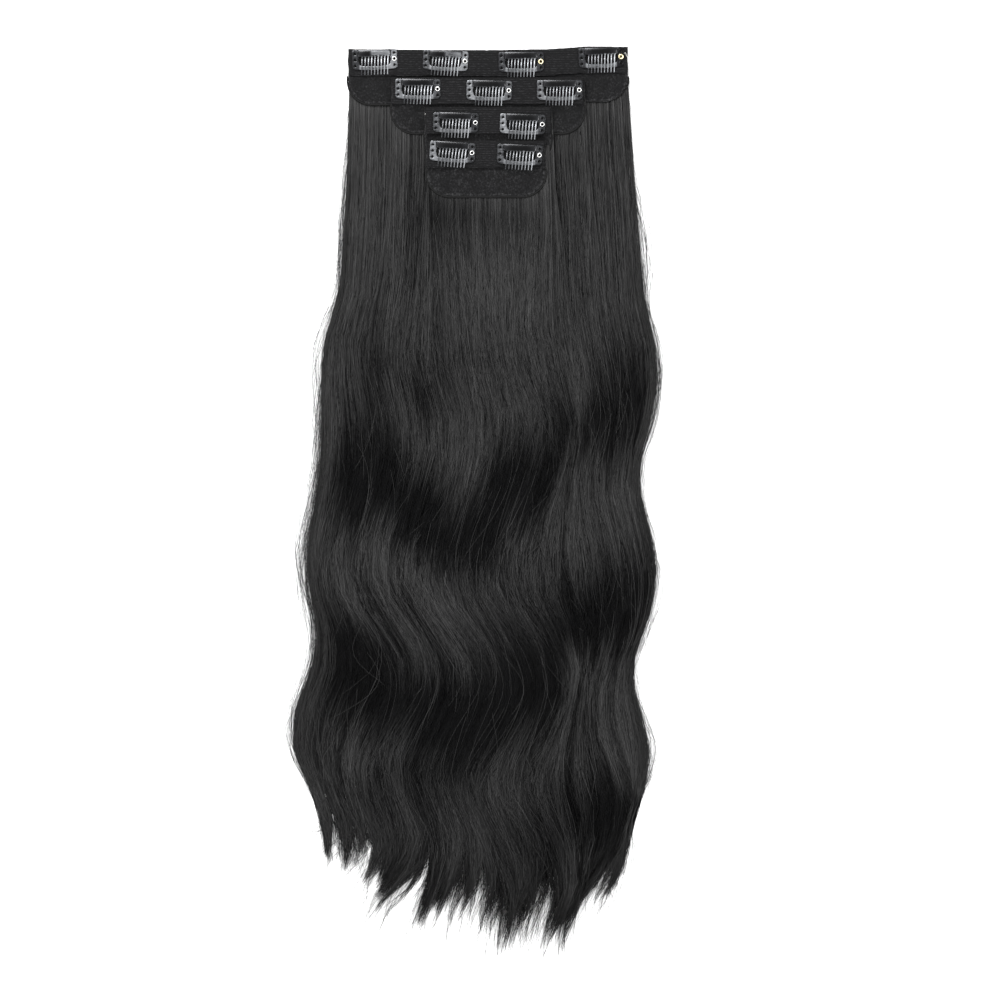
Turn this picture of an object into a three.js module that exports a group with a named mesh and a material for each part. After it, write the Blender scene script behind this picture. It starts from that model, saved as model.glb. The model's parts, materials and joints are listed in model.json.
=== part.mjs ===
// A clip-in hair extension of four wefts, laid out flat and overlapping with the clips up.
// Millimetres. +X runs across the wefts, +Y from the tips to the roots, +Z up from the surface they lie on.
// The origin is on that surface, under the wefts' centre line, halfway along the hair.
import * as THREE from 'three';
import { mergeVertices } from 'three/addons/utils/BufferGeometryUtils.js';

// Hair
const LENGTH = 655; // from the widest weft's top edge to its longest lock's tip
const HAIR_ROOT = 2.2; // hair sewn flat under a backing
const HAIR_LOFT = 3.4; // one weft's loose hair
const HAIR_SIDE = 1.2; // the same hair at its thin sides
const LOCK_RELIEF = 1.1; // how far a lock's middle stands above its borders
const LOCK_ROOT = 1.8; // thickness where the locks part
const LOCK_TIP = 0.8; // and where they end
const LOCK_WAIST = 0.5; // halfway down, a lock is this much narrower
const LOCK_NARROWING = 0.62;
const WAVE_PITCH = 133; // from one crest of the wave to the next
const WAVE_FIRST = 232; // from the top edge to the first crest
const WAVE_DEPTH = 1.0; // how much the hair rises and falls about its loft
const CROTCH_SAG = 24; // how much lower the locks part in the middle than at the sides

// Backings
const WIDTH = 199.5; // the widest weft's
const BACKING = 1.5; // felt, thickness
const BACKING_DEPTH = 39.5; // from its top edge to its hem
const CORNER = 17; // radius of its lower corners
const CORNER_STEPS = 3;
const DRAPE = 5; // how far a weft takes to fall off the hem below it
const ROOT_INSET = 2; // the hair starts this far inside the backing's edges
const TAPE = 1.0; // ribbed tape that carries the clips, thickness
const TAPE_DEPTH = 18.6;
const TAPE_INSET = 0.8;
const CLEARANCE = 0.3; // between pieces that lie on each other

// Snap clips
const CLIP_WIDTH = 32;
const EAR_LENGTH = 13.8; // along the weft's length, corner to corner
const EAR_WIDTH = 4.1;
const EAR_CORNER = 1.6;
const TOP_BAR = 4.6;
const LOWER_BAR = 2.6;
const BAR_BOW = 0.6; // the lower bar's middle hangs this far below its ends
const SHEET = 0.4; // steel
const ARCH = 0.7; // the sheet's middle stands this far above its ends
const TEETH = 9;
const TOOTH_PITCH = 2.3;
const TOOTH_WIDTH = 1.1;
const TOOTH_TIP = 0.7;
const TOOTH_REACH = 3.6; // past the lower bar
const TOOTH_SLANT = 0.8; // how far a tip lies to the left of its root
const STITCH_HOLE = 1.9; // diameter
const STITCH_PITCH = 4.3; // between an ear's holes
const STITCH_SIDES = 6;

// The hollow rivet through each clip's right ear
const EYELET_BORE = 1.3;
const EYELET_BARREL = 2.0;
const EYELET_RIM = 3.8;
const EYELET_RISE = 0.45; // the rim's height
const EYELET_SIDES = 8;

const CLIP_DEPTH = EAR_LENGTH + BAR_BOW + TOOTH_REACH;

// The wefts from the lowest up. breadth is a share of the widest weft's width, lead the way down from the
// last weft's top edge in clip depths, and shift a move sideways in the weft's own widths.
const WEFTS = [
  { name: 'weft_1', breadth: 1, locks: 10, lead: 0, shift: 0 },
  { name: 'weft_2', breadth: 0.691, locks: 7, lead: 1.16, shift: 0 },
  { name: 'weft_3', breadth: 0.455, locks: 5, lead: 1.18, shift: 0 },
  { name: 'weft_4', breadth: 0.427, locks: 4, lead: 1.34, shift: -0.016 },
];

// across is a share of the weft's half width, drop of the clip's depth below the top edge, tilt in degrees.
const CLIPS = [
  { name: 'clip_1a', weft: 0, across: -0.807, drop: 0.044, tilt: 2.3, rivet: 'nickel' },
  { name: 'clip_1b', weft: 0, across: -0.303, drop: 0.083, tilt: -2.6, rivet: 'nickel' },
  { name: 'clip_1c', weft: 0, across: 0.236, drop: 0.139, tilt: 0.6, rivet: 'brass' },
  { name: 'clip_1d', weft: 0, across: 0.806, drop: -0.035, tilt: 2.1, rivet: 'brass' },
  { name: 'clip_2a', weft: 1, across: -0.721, drop: 0.072, tilt: -0.6, rivet: 'nickel' },
  { name: 'clip_2b', weft: 1, across: 0.012, drop: 0.13, tilt: -1.1, rivet: 'nickel' },
  { name: 'clip_2c', weft: 1, across: 0.737, drop: 0.122, tilt: 0, rivet: 'nickel' },
  { name: 'clip_3a', weft: 2, across: -0.504, drop: 0.233, tilt: -1.1, rivet: 'nickel' },
  { name: 'clip_3b', weft: 2, across: 0.54, drop: 0.29, tilt: -1.7, rivet: 'nickel' },
  { name: 'clip_4a', weft: 3, across: -0.559, drop: 0.061, tilt: -3.5, rivet: 'nickel' },
  { name: 'clip_4b', weft: 3, across: 0.559, drop: 0.167, tilt: -2.5, rivet: 'nickel' },
];

// The spread hair from the hem down. down is a share of the length; left and right are the edges' distances
// from the centre line and sway the middle's sideways swing, all in half widths of the widest weft.
const SPREAD = [
  { down: 0.0, left: 1.0, right: 1.0, sway: 0.0 },
  { down: 0.11, left: 1.01, right: 1.045, sway: 0.0 },
  { down: 0.164, left: 1.032, right: 1.075, sway: 0.0 },
  { down: 0.273, left: 1.068, right: 1.117, sway: 0.0 },
  { down: 0.316, left: 1.174, right: 1.189, sway: 0.02 },
  { down: 0.354, left: 1.19, right: 1.21, sway: 0.05 },
  { down: 0.403, left: 1.185, right: 1.165, sway: 0.09 },
  { down: 0.452, left: 1.189, right: 1.053, sway: 0.07 },
  { down: 0.5, left: 1.23, right: 1.09, sway: -0.04 },
  { down: 0.549, left: 1.288, right: 1.182, sway: -0.17 },
  { down: 0.598, left: 1.278, right: 1.207, sway: -0.18 },
  { down: 0.647, left: 1.202, right: 1.13, sway: -0.02 },
  { down: 0.695, left: 1.224, right: 0.996, sway: 0.06 },
  { down: 0.744, left: 1.36, right: 1.06, sway: -0.03 },
  { down: 0.793, left: 1.384, right: 1.139, sway: -0.12 },
  { down: 0.842, left: 1.25, right: 1.115, sway: -0.05 },
  { down: 0.869, left: 1.19, right: 1.02, sway: 0.02 },
];

// Each weft's lock tips from left to right: aside is the distance from the centre line in half widths of the
// widest weft, down a share of the length.
const LOCK_TIPS = [
  [
    { aside: -1.03, down: 0.906 },
    { aside: -0.868, down: 0.962 },
    { aside: -0.555, down: 0.978 },
    { aside: -0.313, down: 0.971 },
    { aside: -0.1, down: 0.98 },
    { aside: 0.085, down: 1.0 },
    { aside: 0.349, down: 0.987 },
    { aside: 0.484, down: 0.993 },
    { aside: 0.847, down: 0.966 },
    { aside: 1.004, down: 0.906 },
  ],
  [
    { aside: -0.81, down: 0.917 },
    { aside: -0.48, down: 0.948 },
    { aside: -0.22, down: 0.955 },
    { aside: 0.02, down: 0.965 },
    { aside: 0.2, down: 0.972 },
    { aside: 0.51, down: 0.965 },
    { aside: 0.72, down: 0.935 },
  ],
  [
    { aside: -0.42, down: 0.94 },
    { aside: -0.17, down: 0.962 },
    { aside: 0.15, down: 0.986 },
    { aside: 0.28, down: 0.98 },
    { aside: 0.51, down: 0.964 },
  ],
  [
    { aside: -0.3, down: 0.943 },
    { aside: 0.0, down: 0.958 },
    { aside: 0.24, down: 0.97 },
    { aside: 0.42, down: 0.95 },
  ],
];

// The top edge of the widest weft lifts towards its right end: across in half widths, lift in backing depths.
const TOP_EDGE = [
  { across: -1, lift: 0 },
  { across: 0, lift: -0.02 },
  { across: 0.45, lift: 0 },
  { across: 0.72, lift: 0.05 },
  { across: 1, lift: 0.04 },
];

const LOOKS = {
  hair: { color: 0x1c1b1d, roughness: 0.45, metalness: 0 },
  felt: { color: 0x1b1b1d, roughness: 0.95, metalness: 0 },
  tape: { color: 0x202023, roughness: 0.85, metalness: 0 },
  enamel: { color: 0x2a2c30, roughness: 0.3, metalness: 0.6 },
  nickel: { color: 0xc8c8c4, roughness: 0.25, metalness: 1 },
  brass: { color: 0xc9b583, roughness: 0.3, metalness: 1 },
};

const HALF = WIDTH / 2;
const MOST_LOCKS = WEFTS[0].locks;
const group = new THREE.Group();

const mix = (a, b, t) => a + (b - a) * t;
const smooth = (t) => {
  const s = Math.min(Math.max(t, 0), 1);
  return s * s * (3 - 2 * s);
};

// The value of one column of a table at a place between its rows.
function readTable(rows, by, column, at) {
  let next = rows.findIndex((row) => row[by] >= at);
  if (next < 0) {
    next = rows.length - 1;
  }
  const before = rows[Math.max(next - 1, 0)];
  const after = rows[next];
  if (before === after) {
    return after[column];
  }
  const t = Math.min((at - before[by]) / (after[by] - before[by]), 1);
  return mix(before[column], after[column], t);
}

function addPiece(name, geometry, look, parent = group) {
  const mesh = new THREE.Mesh(geometry, new THREE.MeshStandardMaterial(LOOKS[look]));
  mesh.name = name;
  parent.add(mesh);
  return mesh;
}

// The edges that only one triangle of a plan uses, with the plan on their left.
function rimOf(faces) {
  const used = new Set(faces.flatMap(([a, b, c]) => [`${a},${b}`, `${b},${c}`, `${c},${a}`]));
  const rim = [...used].map((key) => key.split(',').map(Number));
  return rim.filter(([from, to]) => !used.has(`${to},${from}`));
}

// A closed body over a flat plan. Each point has x and y with its lower and upper height, and the faces run
// counter-clockwise from above. underFaces may cover the same plan with fewer triangles.
function slab(points, faces, underFaces = faces) {
  const count = points.length;
  const positions = points.flatMap((p) => [p.x, p.y, p.over]);
  positions.push(...points.flatMap((p) => [p.x, p.y, p.under]));
  const index = faces.flat();
  for (const [a, b, c] of underFaces) {
    index.push(c + count, b + count, a + count);
  }
  for (const [from, to] of rimOf(faces)) {
    index.push(from + count, to + count, to);
    index.push(from + count, to, from);
  }
  const geometry = new THREE.BufferGeometry();
  geometry.setAttribute('position', new THREE.Float32BufferAttribute(positions, 3));
  geometry.setIndex(index);
  return geometry;
}

// Triangles over a grid of points stored row by row, with the rows running down and the columns right.
function gridFaces(rows, columns) {
  const faces = [];
  for (let row = 0; row < rows - 1; row++) {
    for (let column = 0; column < columns - 1; column++) {
      const a = row * columns + column;
      const below = a + columns;
      faces.push([a, below, below + 1]);
      faces.push([a, below + 1, a + 1]);
    }
  }
  return faces;
}

// Where each weft's backing and hair begin and end, measured down from the widest weft's top edge.
let leadSoFar = 0;
for (const weft of WEFTS) {
  leadSoFar += weft.lead * CLIP_DEPTH;
  weft.width = weft.breadth * WIDTH;
  weft.top = leadSoFar;
  weft.hem = weft.top + BACKING_DEPTH;
  weft.root = weft.top + ROOT_INSET;
  weft.limit = weft.locks / MOST_LOCKS;
  weft.centre = weft.shift * weft.width;
}

const LAST_HEM = WEFTS[WEFTS.length - 1].hem;
const FULL_WAVE = WAVE_FIRST;
const CROTCH = SPREAD[SPREAD.length - 1].down * LENGTH;
const yAt = (down) => LENGTH / 2 - down;

// How far the hair has left its flat sewn roots at this distance down: 0 at the last hem, 1 at full wave.
const looseness = (down) => smooth((down - LAST_HEM) / (FULL_WAVE - LAST_HEM));

// Wave height about the loft, the same across all the wefts so that they nest.
const wave = (down) => WAVE_DEPTH * Math.cos((2 * Math.PI * (down - WAVE_FIRST)) / WAVE_PITCH);

// The thickness of a weft's hair. part is the column's share across the spread, from -1 to 1.
function hairThickness(weft, part, down) {
  const lock = 0.5 - 0.5 * Math.cos(Math.PI * (part * MOST_LOCKS + weft.locks));
  const side = Math.abs(part) > weft.limit - 0.5 / MOST_LOCKS;
  const taper = smooth((down - FULL_WAVE) / (CROTCH - FULL_WAVE));
  const full = side ? HAIR_SIDE : HAIR_LOFT + wave(down) + LOCK_RELIEF * (lock - 0.5);
  const thinned = mix(full, Math.min(full, LOCK_ROOT), taper * taper);
  return mix(HAIR_ROOT, thinned, looseness(down));
}

function hairUnder(k, part, down) {
  return k === 0 ? 0 : weftOver(k - 1, part, down) + CLEARANCE;
}

function hairOver(k, part, down) {
  return hairUnder(k, part, down) + hairThickness(WEFTS[k], part, down);
}

// The upper surface of a weft with its backing, which the next weft lies on and falls off past the hem.
function weftOver(k, part, down) {
  const past = (down - WEFTS[k].hem) / DRAPE;
  const lift = Math.min(Math.max(1 - past, 0), 1);
  return hairOver(k, part, down) + (CLEARANCE + BACKING) * lift;
}

// Across the spread hair a column keeps its place. At the roots the wefts' own widths set it.
const ROOT_PLACES = [
  { part: 0, place: 0 },
  ...WEFTS.map((weft) => ({ part: weft.limit, place: (weft.width / 2 - ROOT_INSET) / HALF })).reverse(),
];

function columnX(part, down) {
  const share = down / LENGTH;
  const rooted = Math.sign(part) * readTable(ROOT_PLACES, 'part', 'place', Math.abs(part));
  const spread = mix(rooted, part, looseness(down));
  const left = readTable(SPREAD, 'down', 'left', share);
  const right = readTable(SPREAD, 'down', 'right', share);
  const sway = readTable(SPREAD, 'down', 'sway', share) * (1 - part * part);
  return HALF * (mix(-left, right, (spread + 1) / 2) + sway);
}

// The loose hair's ends lie on one another: planes that only fall with the distance down.
const PARTING = CROTCH - CROTCH_SAG;

function lockLevel(k, down) {
  const thickness = mix(LOCK_ROOT, LOCK_TIP, (down - PARTING) / (LENGTH - PARTING));
  const under = k * (thickness + CLEARANCE);
  return { under, over: under + thickness };
}

// Rows down a weft's hair, at every place where it or what it lies on bends.
function rowsOf(k) {
  const { root } = WEFTS[k];
  const bends = WEFTS.slice(0, k).flatMap((weft) => [weft.hem, weft.hem + DRAPE]);
  const loose = SPREAD.map((row) => row.down * LENGTH).filter((down) => down > LAST_HEM + 2 * DRAPE);
  const sorted = [root, LAST_HEM, ...bends, ...loose].filter((down) => down >= root).sort((a, b) => a - b);
  return sorted.filter((down, i) => i === 0 || down - sorted[i - 1] > CLEARANCE);
}

// One weft's hair: a ridged sheet that parts into pointed locks.
function hairGeometry(k) {
  const weft = WEFTS[k];
  const rows = rowsOf(k);
  const columns = weft.locks * 2 + 1;
  const points = [];
  for (const [row, down] of rows.entries()) {
    const sag = CROTCH_SAG * smooth((down - FULL_WAVE) / (CROTCH - FULL_WAVE));
    for (let column = 0; column < columns; column++) {
      const part = (column - weft.locks) / MOST_LOCKS;
      const sagged = down - sag * part * part;
      const sheet = { under: hairUnder(k, part, down), over: hairOver(k, part, down) };
      const level = row === rows.length - 1 ? lockLevel(k, sagged) : sheet;
      points.push({ x: columnX(part, down), y: yAt(sagged), ...level });
    }
  }
  const faces = gridFaces(rows.length, columns);
  const last = (rows.length - 1) * columns;
  const locks = LOCK_TIPS[k].flatMap((tip, i) => addLock(points, last + 2 * i, k, tip));
  faces.push(...locks);
  return k > 0 ? slab(points, faces) : slab(points, faces, [...flatUnder(rows.length, columns), ...locks]);
}

// A lock narrows from three points of the sheet's last row to its tip. Its points join the list, and its
// faces are returned.
function addLock(points, first, k, tip) {
  const from = [points[first], points[first + 1], points[first + 2]];
  const x = tip.aside * HALF;
  const y = yAt(tip.down * LENGTH);
  const start = points.length;
  for (const corner of from) {
    const waistY = mix(corner.y, y, LOCK_WAIST);
    const waistX = mix(from[1].x, x, LOCK_WAIST) + (corner.x - from[1].x) * LOCK_NARROWING;
    points.push({ x: waistX, y: waistY, ...lockLevel(k, yAt(waistY)) });
  }
  points.push({ x, y, ...lockLevel(k, yAt(y)) });
  const [a, b, c] = [first, first + 1, first + 2];
  const [d, e, f, end] = [start, start + 1, start + 2, start + 3];
  return [[a, d, e], [a, e, b], [b, e, f], [b, f, c], [d, end, e], [e, end, f]];
}

// The flat underside needs only the plan's rim: strips from side to side, closed by a fan at each end.
function flatUnder(rows, columns) {
  const faces = [];
  const left = (row) => row * columns;
  const right = (row) => row * columns + columns - 1;
  for (let column = 0; column < columns - 1; column++) {
    faces.push([left(1), left(0) + column + 1, left(0) + column]);
    faces.push([left(rows - 2), left(rows - 1) + column, left(rows - 1) + column + 1]);
  }
  faces.push([left(1), right(1), right(0)]);
  faces.push([left(rows - 2), right(rows - 1), right(rows - 2)]);
  for (let row = 1; row < rows - 2; row++) {
    faces.push([left(row), left(row + 1), right(row + 1)]);
    faces.push([left(row), right(row + 1), right(row)]);
  }
  return faces;
}

// Half the backing's width at a distance down from its top edge, with its lower corners rounded.
function backingHalf(weft, depth) {
  const into = Math.max(depth - (BACKING_DEPTH - CORNER), 0);
  return weft.width / 2 - CORNER + Math.sqrt(Math.max(CORNER * CORNER - into * into, 0));
}

// A cloth strip on a weft from its top edge down, of a given depth, inset at its top and sides.
function clothGeometry(k, { depth, inset, lift, thickness }) {
  const weft = WEFTS[k];
  const corners = Array.from({ length: CORNER_STEPS + 1 }, (_, i) => {
    return BACKING_DEPTH - CORNER + CORNER * Math.sin((i * Math.PI) / 2 / CORNER_STEPS);
  });
  const bends = rowsOf(k).map((down) => down - weft.top);
  const wanted = [inset, depth, ...corners, ...bends].filter((at) => at >= inset && at <= depth);
  wanted.sort((a, b) => a - b);
  const stations = wanted.filter((at, i) => i === 0 || at - wanted[i - 1] > CLEARANCE);
  const points = [];
  for (const [row, at] of stations.entries()) {
    const half = backingHalf(weft, at) - inset;
    const down = Math.max(weft.top + at, weft.root);
    const under = hairOver(k, 0, down) + CLEARANCE + lift;
    for (const { across, lift: raised } of TOP_EDGE) {
      const raise = k === 0 && row === 0 ? raised * BACKING_DEPTH : 0;
      points.push({
        x: weft.centre + across * half,
        y: yAt(weft.top + at) + raise,
        under,
        over: under + thickness,
      });
    }
  }
  return slab(points, gridFaces(stations.length, TOP_EDGE.length));
}

// Steel parts of a clip lie in its own frame: +Y towards the weft's top edge, the sheet's underside at 0.
const arched = (x) => ARCH * (1 - (2 * x) ** 2 / CLIP_WIDTH ** 2);
const EAR_X = CLIP_WIDTH / 2 - EAR_WIDTH / 2;
const WINDOW_HALF = CLIP_WIDTH / 2 - EAR_WIDTH;
const CLIP_TOP = EAR_LENGTH / 2;
const BAR_TOP = -CLIP_TOP + LOWER_BAR;

// Two ears with stitch holes, joined by the lower bar.
function frameGeometry() {
  const shape = new THREE.Shape();
  const out = CLIP_WIDTH / 2;
  const turn = EAR_CORNER;
  const bow = 2 * BAR_BOW;
  shape.moveTo(-out, -CLIP_TOP + turn);
  shape.quadraticCurveTo(-out, -CLIP_TOP, -out + turn, -CLIP_TOP);
  shape.quadraticCurveTo(0, -CLIP_TOP - bow, out - turn, -CLIP_TOP);
  shape.quadraticCurveTo(out, -CLIP_TOP, out, -CLIP_TOP + turn);
  shape.lineTo(out, CLIP_TOP - turn);
  shape.quadraticCurveTo(out, CLIP_TOP, out - turn, CLIP_TOP);
  shape.lineTo(WINDOW_HALF, CLIP_TOP);
  shape.lineTo(WINDOW_HALF, BAR_TOP);
  shape.quadraticCurveTo(0, BAR_TOP - bow, -WINDOW_HALF, BAR_TOP);
  shape.lineTo(-WINDOW_HALF, CLIP_TOP);
  shape.lineTo(-out + turn, CLIP_TOP);
  shape.quadraticCurveTo(-out, CLIP_TOP, -out, CLIP_TOP - turn);
  const pierce = (x, y, diameter, sides) => {
    const hole = new THREE.Path();
    for (let i = 0; i < sides; i++) {
      const angle = (-i * 2 * Math.PI) / sides;
      const place = [x + (diameter / 2) * Math.cos(angle), y + (diameter / 2) * Math.sin(angle)];
      if (i === 0) {
        hole.moveTo(...place);
      } else {
        hole.lineTo(...place);
      }
    }
    shape.holes.push(hole);
  };
  for (const row of [-1, 0, 1]) {
    pierce(-EAR_X, row * STITCH_PITCH, STITCH_HOLE, STITCH_SIDES);
    if (row !== 0) {
      pierce(EAR_X, row * STITCH_PITCH, STITCH_HOLE, STITCH_SIDES);
    }
  }
  pierce(EAR_X, 0, EYELET_BARREL + 2 * CLEARANCE, EYELET_SIDES);
  const plate = new THREE.ExtrudeGeometry(shape, { depth: SHEET, bevelEnabled: false, curveSegments: 2 });
  const corners = plate.attributes.position;
  for (let i = 0; i < corners.count; i++) {
    corners.setZ(i, corners.getZ(i) + arched(corners.getX(i)));
  }
  return plate;
}

// The top bar with its teeth, which pass over the lower bar.
function combGeometry() {
  const half = WINDOW_HALF - CLEARANCE;
  const barFoot = CLIP_TOP - TOP_BAR;
  const barLow = -CLIP_TOP - BAR_BOW;
  const over = SHEET + CLEARANCE;
  // away is the tooth's height off the frame's plane, width its breadth
  const stations = [
    { y: barFoot, away: 0, width: TOOTH_WIDTH },
    { y: BAR_TOP + CLEARANCE, away: over, width: TOOTH_WIDTH },
    { y: barLow - CLEARANCE, away: over, width: TOOTH_WIDTH },
    { y: barLow - TOOTH_REACH, away: over * 0.6, width: TOOTH_TIP },
  ];
  const points = [];
  const faces = [];
  const add = (x, y, away) => {
    const under = away + arched(x);
    return points.push({ x, y, under, over: under + SHEET }) - 1;
  };
  const foot = [];
  for (let tooth = 0; tooth < TEETH; tooth++) {
    const rootX = (tooth - (TEETH - 1) / 2) * TOOTH_PITCH;
    const sides = stations.map(({ y, away, width }) => {
      const x = rootX - (TOOTH_SLANT * (barFoot - y)) / (barFoot - barLow + TOOTH_REACH);
      return [add(x - width / 2, y, away), add(x + width / 2, y, away)];
    });
    foot.push(...sides[0]);
    for (let i = 0; i < sides.length - 1; i++) {
      const [a, b] = sides[i];
      const [c, d] = sides[i + 1];
      faces.push([a, c, d], [a, d, b]);
    }
  }
  const outline = [
    add(-half, barFoot, 0),
    ...foot,
    add(half, barFoot, 0),
    add(half, CLIP_TOP, 0),
    add(-half, CLIP_TOP, 0),
  ];
  // Fans from the two upper corners to the bar's lower edge
  const upperLeft = outline[outline.length - 1];
  const upperRight = outline[outline.length - 2];
  const edge = outline.slice(0, -2);
  const middle = Math.floor(edge.length / 2);
  for (let i = 0; i < edge.length - 1; i++) {
    faces.push([i < middle ? upperLeft : upperRight, edge[i], edge[i + 1]]);
  }
  faces.push([upperLeft, edge[middle], upperRight]);
  return slab(points, faces);
}

// A hollow rivet: a barrel through the ear with a rim on top.
function eyeletGeometry() {
  const bore = EYELET_BORE / 2;
  const seat = SHEET + CLEARANCE;
  const outline = [
    [bore, 0],
    [EYELET_BARREL / 2, 0],
    [EYELET_BARREL / 2, seat],
    [EYELET_RIM / 2, seat],
    [EYELET_RIM / 2 - EYELET_RISE / 2, seat + EYELET_RISE],
    [bore, seat + EYELET_RISE],
    [bore, 0],
  ];
  const profile = outline.map(([radius, height]) => new THREE.Vector2(radius, height));
  const turned = new THREE.LatheGeometry(profile, EYELET_SIDES);
  turned.deleteAttribute('normal');
  turned.deleteAttribute('uv');
  const closed = mergeVertices(turned, SHEET / 1000);
  closed.rotateX(Math.PI / 2);
  return closed.translate(EAR_X, 0, arched(EAR_X));
}

for (const [k, weft] of WEFTS.entries()) {
  addPiece(`${weft.name}_hair`, hairGeometry(k), 'hair');
  const felt = { depth: BACKING_DEPTH, inset: 0, lift: 0, thickness: BACKING };
  addPiece(`${weft.name}_backing`, clothGeometry(k, felt), 'felt');
  const tape = { depth: TAPE_DEPTH, inset: TAPE_INSET, lift: BACKING + CLEARANCE, thickness: TAPE };
  addPiece(`${weft.name}_tape`, clothGeometry(k, tape), 'tape');
}

for (const clip of CLIPS) {
  const weft = WEFTS[clip.weft];
  const down = weft.top + clip.drop * CLIP_DEPTH + CLIP_TOP;
  const place = new THREE.Group();
  place.position.set(
    weft.centre + (clip.across * weft.width) / 2,
    yAt(down),
    hairOver(clip.weft, 0, weft.root) + BACKING + TAPE + 3 * CLEARANCE,
  );
  place.rotation.z = THREE.MathUtils.degToRad(clip.tilt);
  group.add(place);
  addPiece(`${clip.name}_frame`, frameGeometry(), 'enamel', place);
  addPiece(`${clip.name}_comb`, combGeometry(), 'enamel', place);
  addPiece(`${clip.name}_eyelet`, eyeletGeometry(), clip.rivet, place);
}

export default group;
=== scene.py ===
"""Looks of a clip-in hair extension: four wefts laid out flat and overlapping, clips up.

Metres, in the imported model's own frame: +Y from the tips to the clips, +Z up from the surface.
"""
import json
import math

import bmesh
import bpy
import numpy as np
from mathutils import Matrix, Vector
from mathutils.bvhtree import BVHTree
from mathutils.geometry import delaunay_2d_cdt


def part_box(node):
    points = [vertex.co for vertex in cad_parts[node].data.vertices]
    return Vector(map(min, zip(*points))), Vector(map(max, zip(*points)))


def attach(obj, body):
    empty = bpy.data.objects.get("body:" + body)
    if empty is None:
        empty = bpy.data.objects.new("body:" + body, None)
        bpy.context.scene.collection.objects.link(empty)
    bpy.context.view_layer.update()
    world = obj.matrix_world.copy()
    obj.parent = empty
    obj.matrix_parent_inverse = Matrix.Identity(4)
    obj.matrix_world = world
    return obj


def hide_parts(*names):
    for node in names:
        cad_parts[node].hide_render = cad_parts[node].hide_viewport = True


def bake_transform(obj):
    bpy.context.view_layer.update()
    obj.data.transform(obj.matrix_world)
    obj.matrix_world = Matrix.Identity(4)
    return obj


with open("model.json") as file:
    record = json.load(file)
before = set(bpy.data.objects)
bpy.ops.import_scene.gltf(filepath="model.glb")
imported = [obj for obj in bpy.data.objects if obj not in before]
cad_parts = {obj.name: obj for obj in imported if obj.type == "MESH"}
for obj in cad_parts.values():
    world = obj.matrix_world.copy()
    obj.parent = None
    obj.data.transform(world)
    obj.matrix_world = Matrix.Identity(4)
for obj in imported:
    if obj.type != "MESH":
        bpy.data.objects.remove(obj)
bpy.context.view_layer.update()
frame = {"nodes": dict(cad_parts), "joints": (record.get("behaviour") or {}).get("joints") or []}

MM = 0.001
ROOT = "wefts"
WEFTS = (1, 2, 3, 4)
CLIPS = ("1a", "1b", "1c", "1d", "2a", "2b", "2c", "3a", "3b", "4a", "4b")

# The photograph's scale, and where its pixels fall on the surface
PIXEL = 0.71 * MM
CENTRE_PX = 488.0
TOP_PX = 48.5
WEFT_2_DROP = 20.9 * MM
TOP_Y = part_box("weft_2_backing")[1].y + WEFT_2_DROP


def place_x(px):
    return (px - CENTRE_PX) * PIXEL


def place_y(py):
    return TOP_Y - (py - TOP_PX) * PIXEL


# Materials


def new_material(name, sockets):
    """A material with some of its shader's own sockets set."""
    material = bpy.data.materials.new(name)
    material.use_nodes = True
    shader = material.node_tree.nodes["Principled BSDF"]
    for socket, value in sockets.items():
        shader.inputs[socket].default_value = value
    return material, material.node_tree, shader


def add_node(tree, kind, **inputs):
    """A node with each named input set to a number, or linked where it is another node's output."""
    node = tree.nodes.new(f"ShaderNode{kind}")
    for name, value in inputs.items():
        socket = node.inputs[name.replace("_", " ")]
        if isinstance(value, bpy.types.NodeSocket):
            tree.links.new(value, socket)
        else:
            socket.default_value = value
    return node


def stretched(tree, scale):
    """Object coordinates scaled along each axis, as a texture vector."""
    place = add_node(tree, "TexCoord").outputs["Object"]
    return add_node(tree, "Mapping", Vector=place, Scale=scale).outputs["Vector"]


def noise(tree, scale, detail=3.0, roughness=0.6):
    vector = stretched(tree, scale)
    node = add_node(tree, "TexNoise", Vector=vector, Scale=1.0, Detail=detail, Roughness=roughness)
    return node.outputs["Fac"]


def remap(tree, value, low, high, to_low, to_high):
    ends = {"From_Min": low, "From_Max": high, "To_Min": to_low, "To_Max": to_high}
    return add_node(tree, "MapRange", Value=value, **ends).outputs["Result"]


def multiply(tree, first, second):
    node = tree.nodes.new("ShaderNodeMath")
    node.operation = "MULTIPLY"
    tree.links.new(first, node.inputs[0])
    tree.links.new(second, node.inputs[1])
    return node.outputs["Value"]


def mesh_tone(tree):
    node = tree.nodes.new("ShaderNodeAttribute")
    node.attribute_name = "tone"
    return node.outputs["Fac"]


def paint(tree, shader, value, stops, rough=None):
    """Base colour from a value along a ramp, and roughness from another."""
    node = add_node(tree, "ValToRGB", Fac=value)
    elements = node.color_ramp.elements
    while len(elements) < len(stops):
        elements.new(0.5)
    for element, (place, colour) in zip(elements, stops):
        element.position = place
        element.color = (*colour, 1)
    tree.links.new(node.outputs["Color"], shader.inputs["Base Color"])
    if rough:
        tree.links.new(rough, shader.inputs["Roughness"])


def bump(tree, shader, height, strength, distance):
    node = add_node(tree, "Bump", Height=height, Strength=strength, Distance=distance)
    tree.links.new(node.outputs["Normal"], shader.inputs["Normal"])


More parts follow.
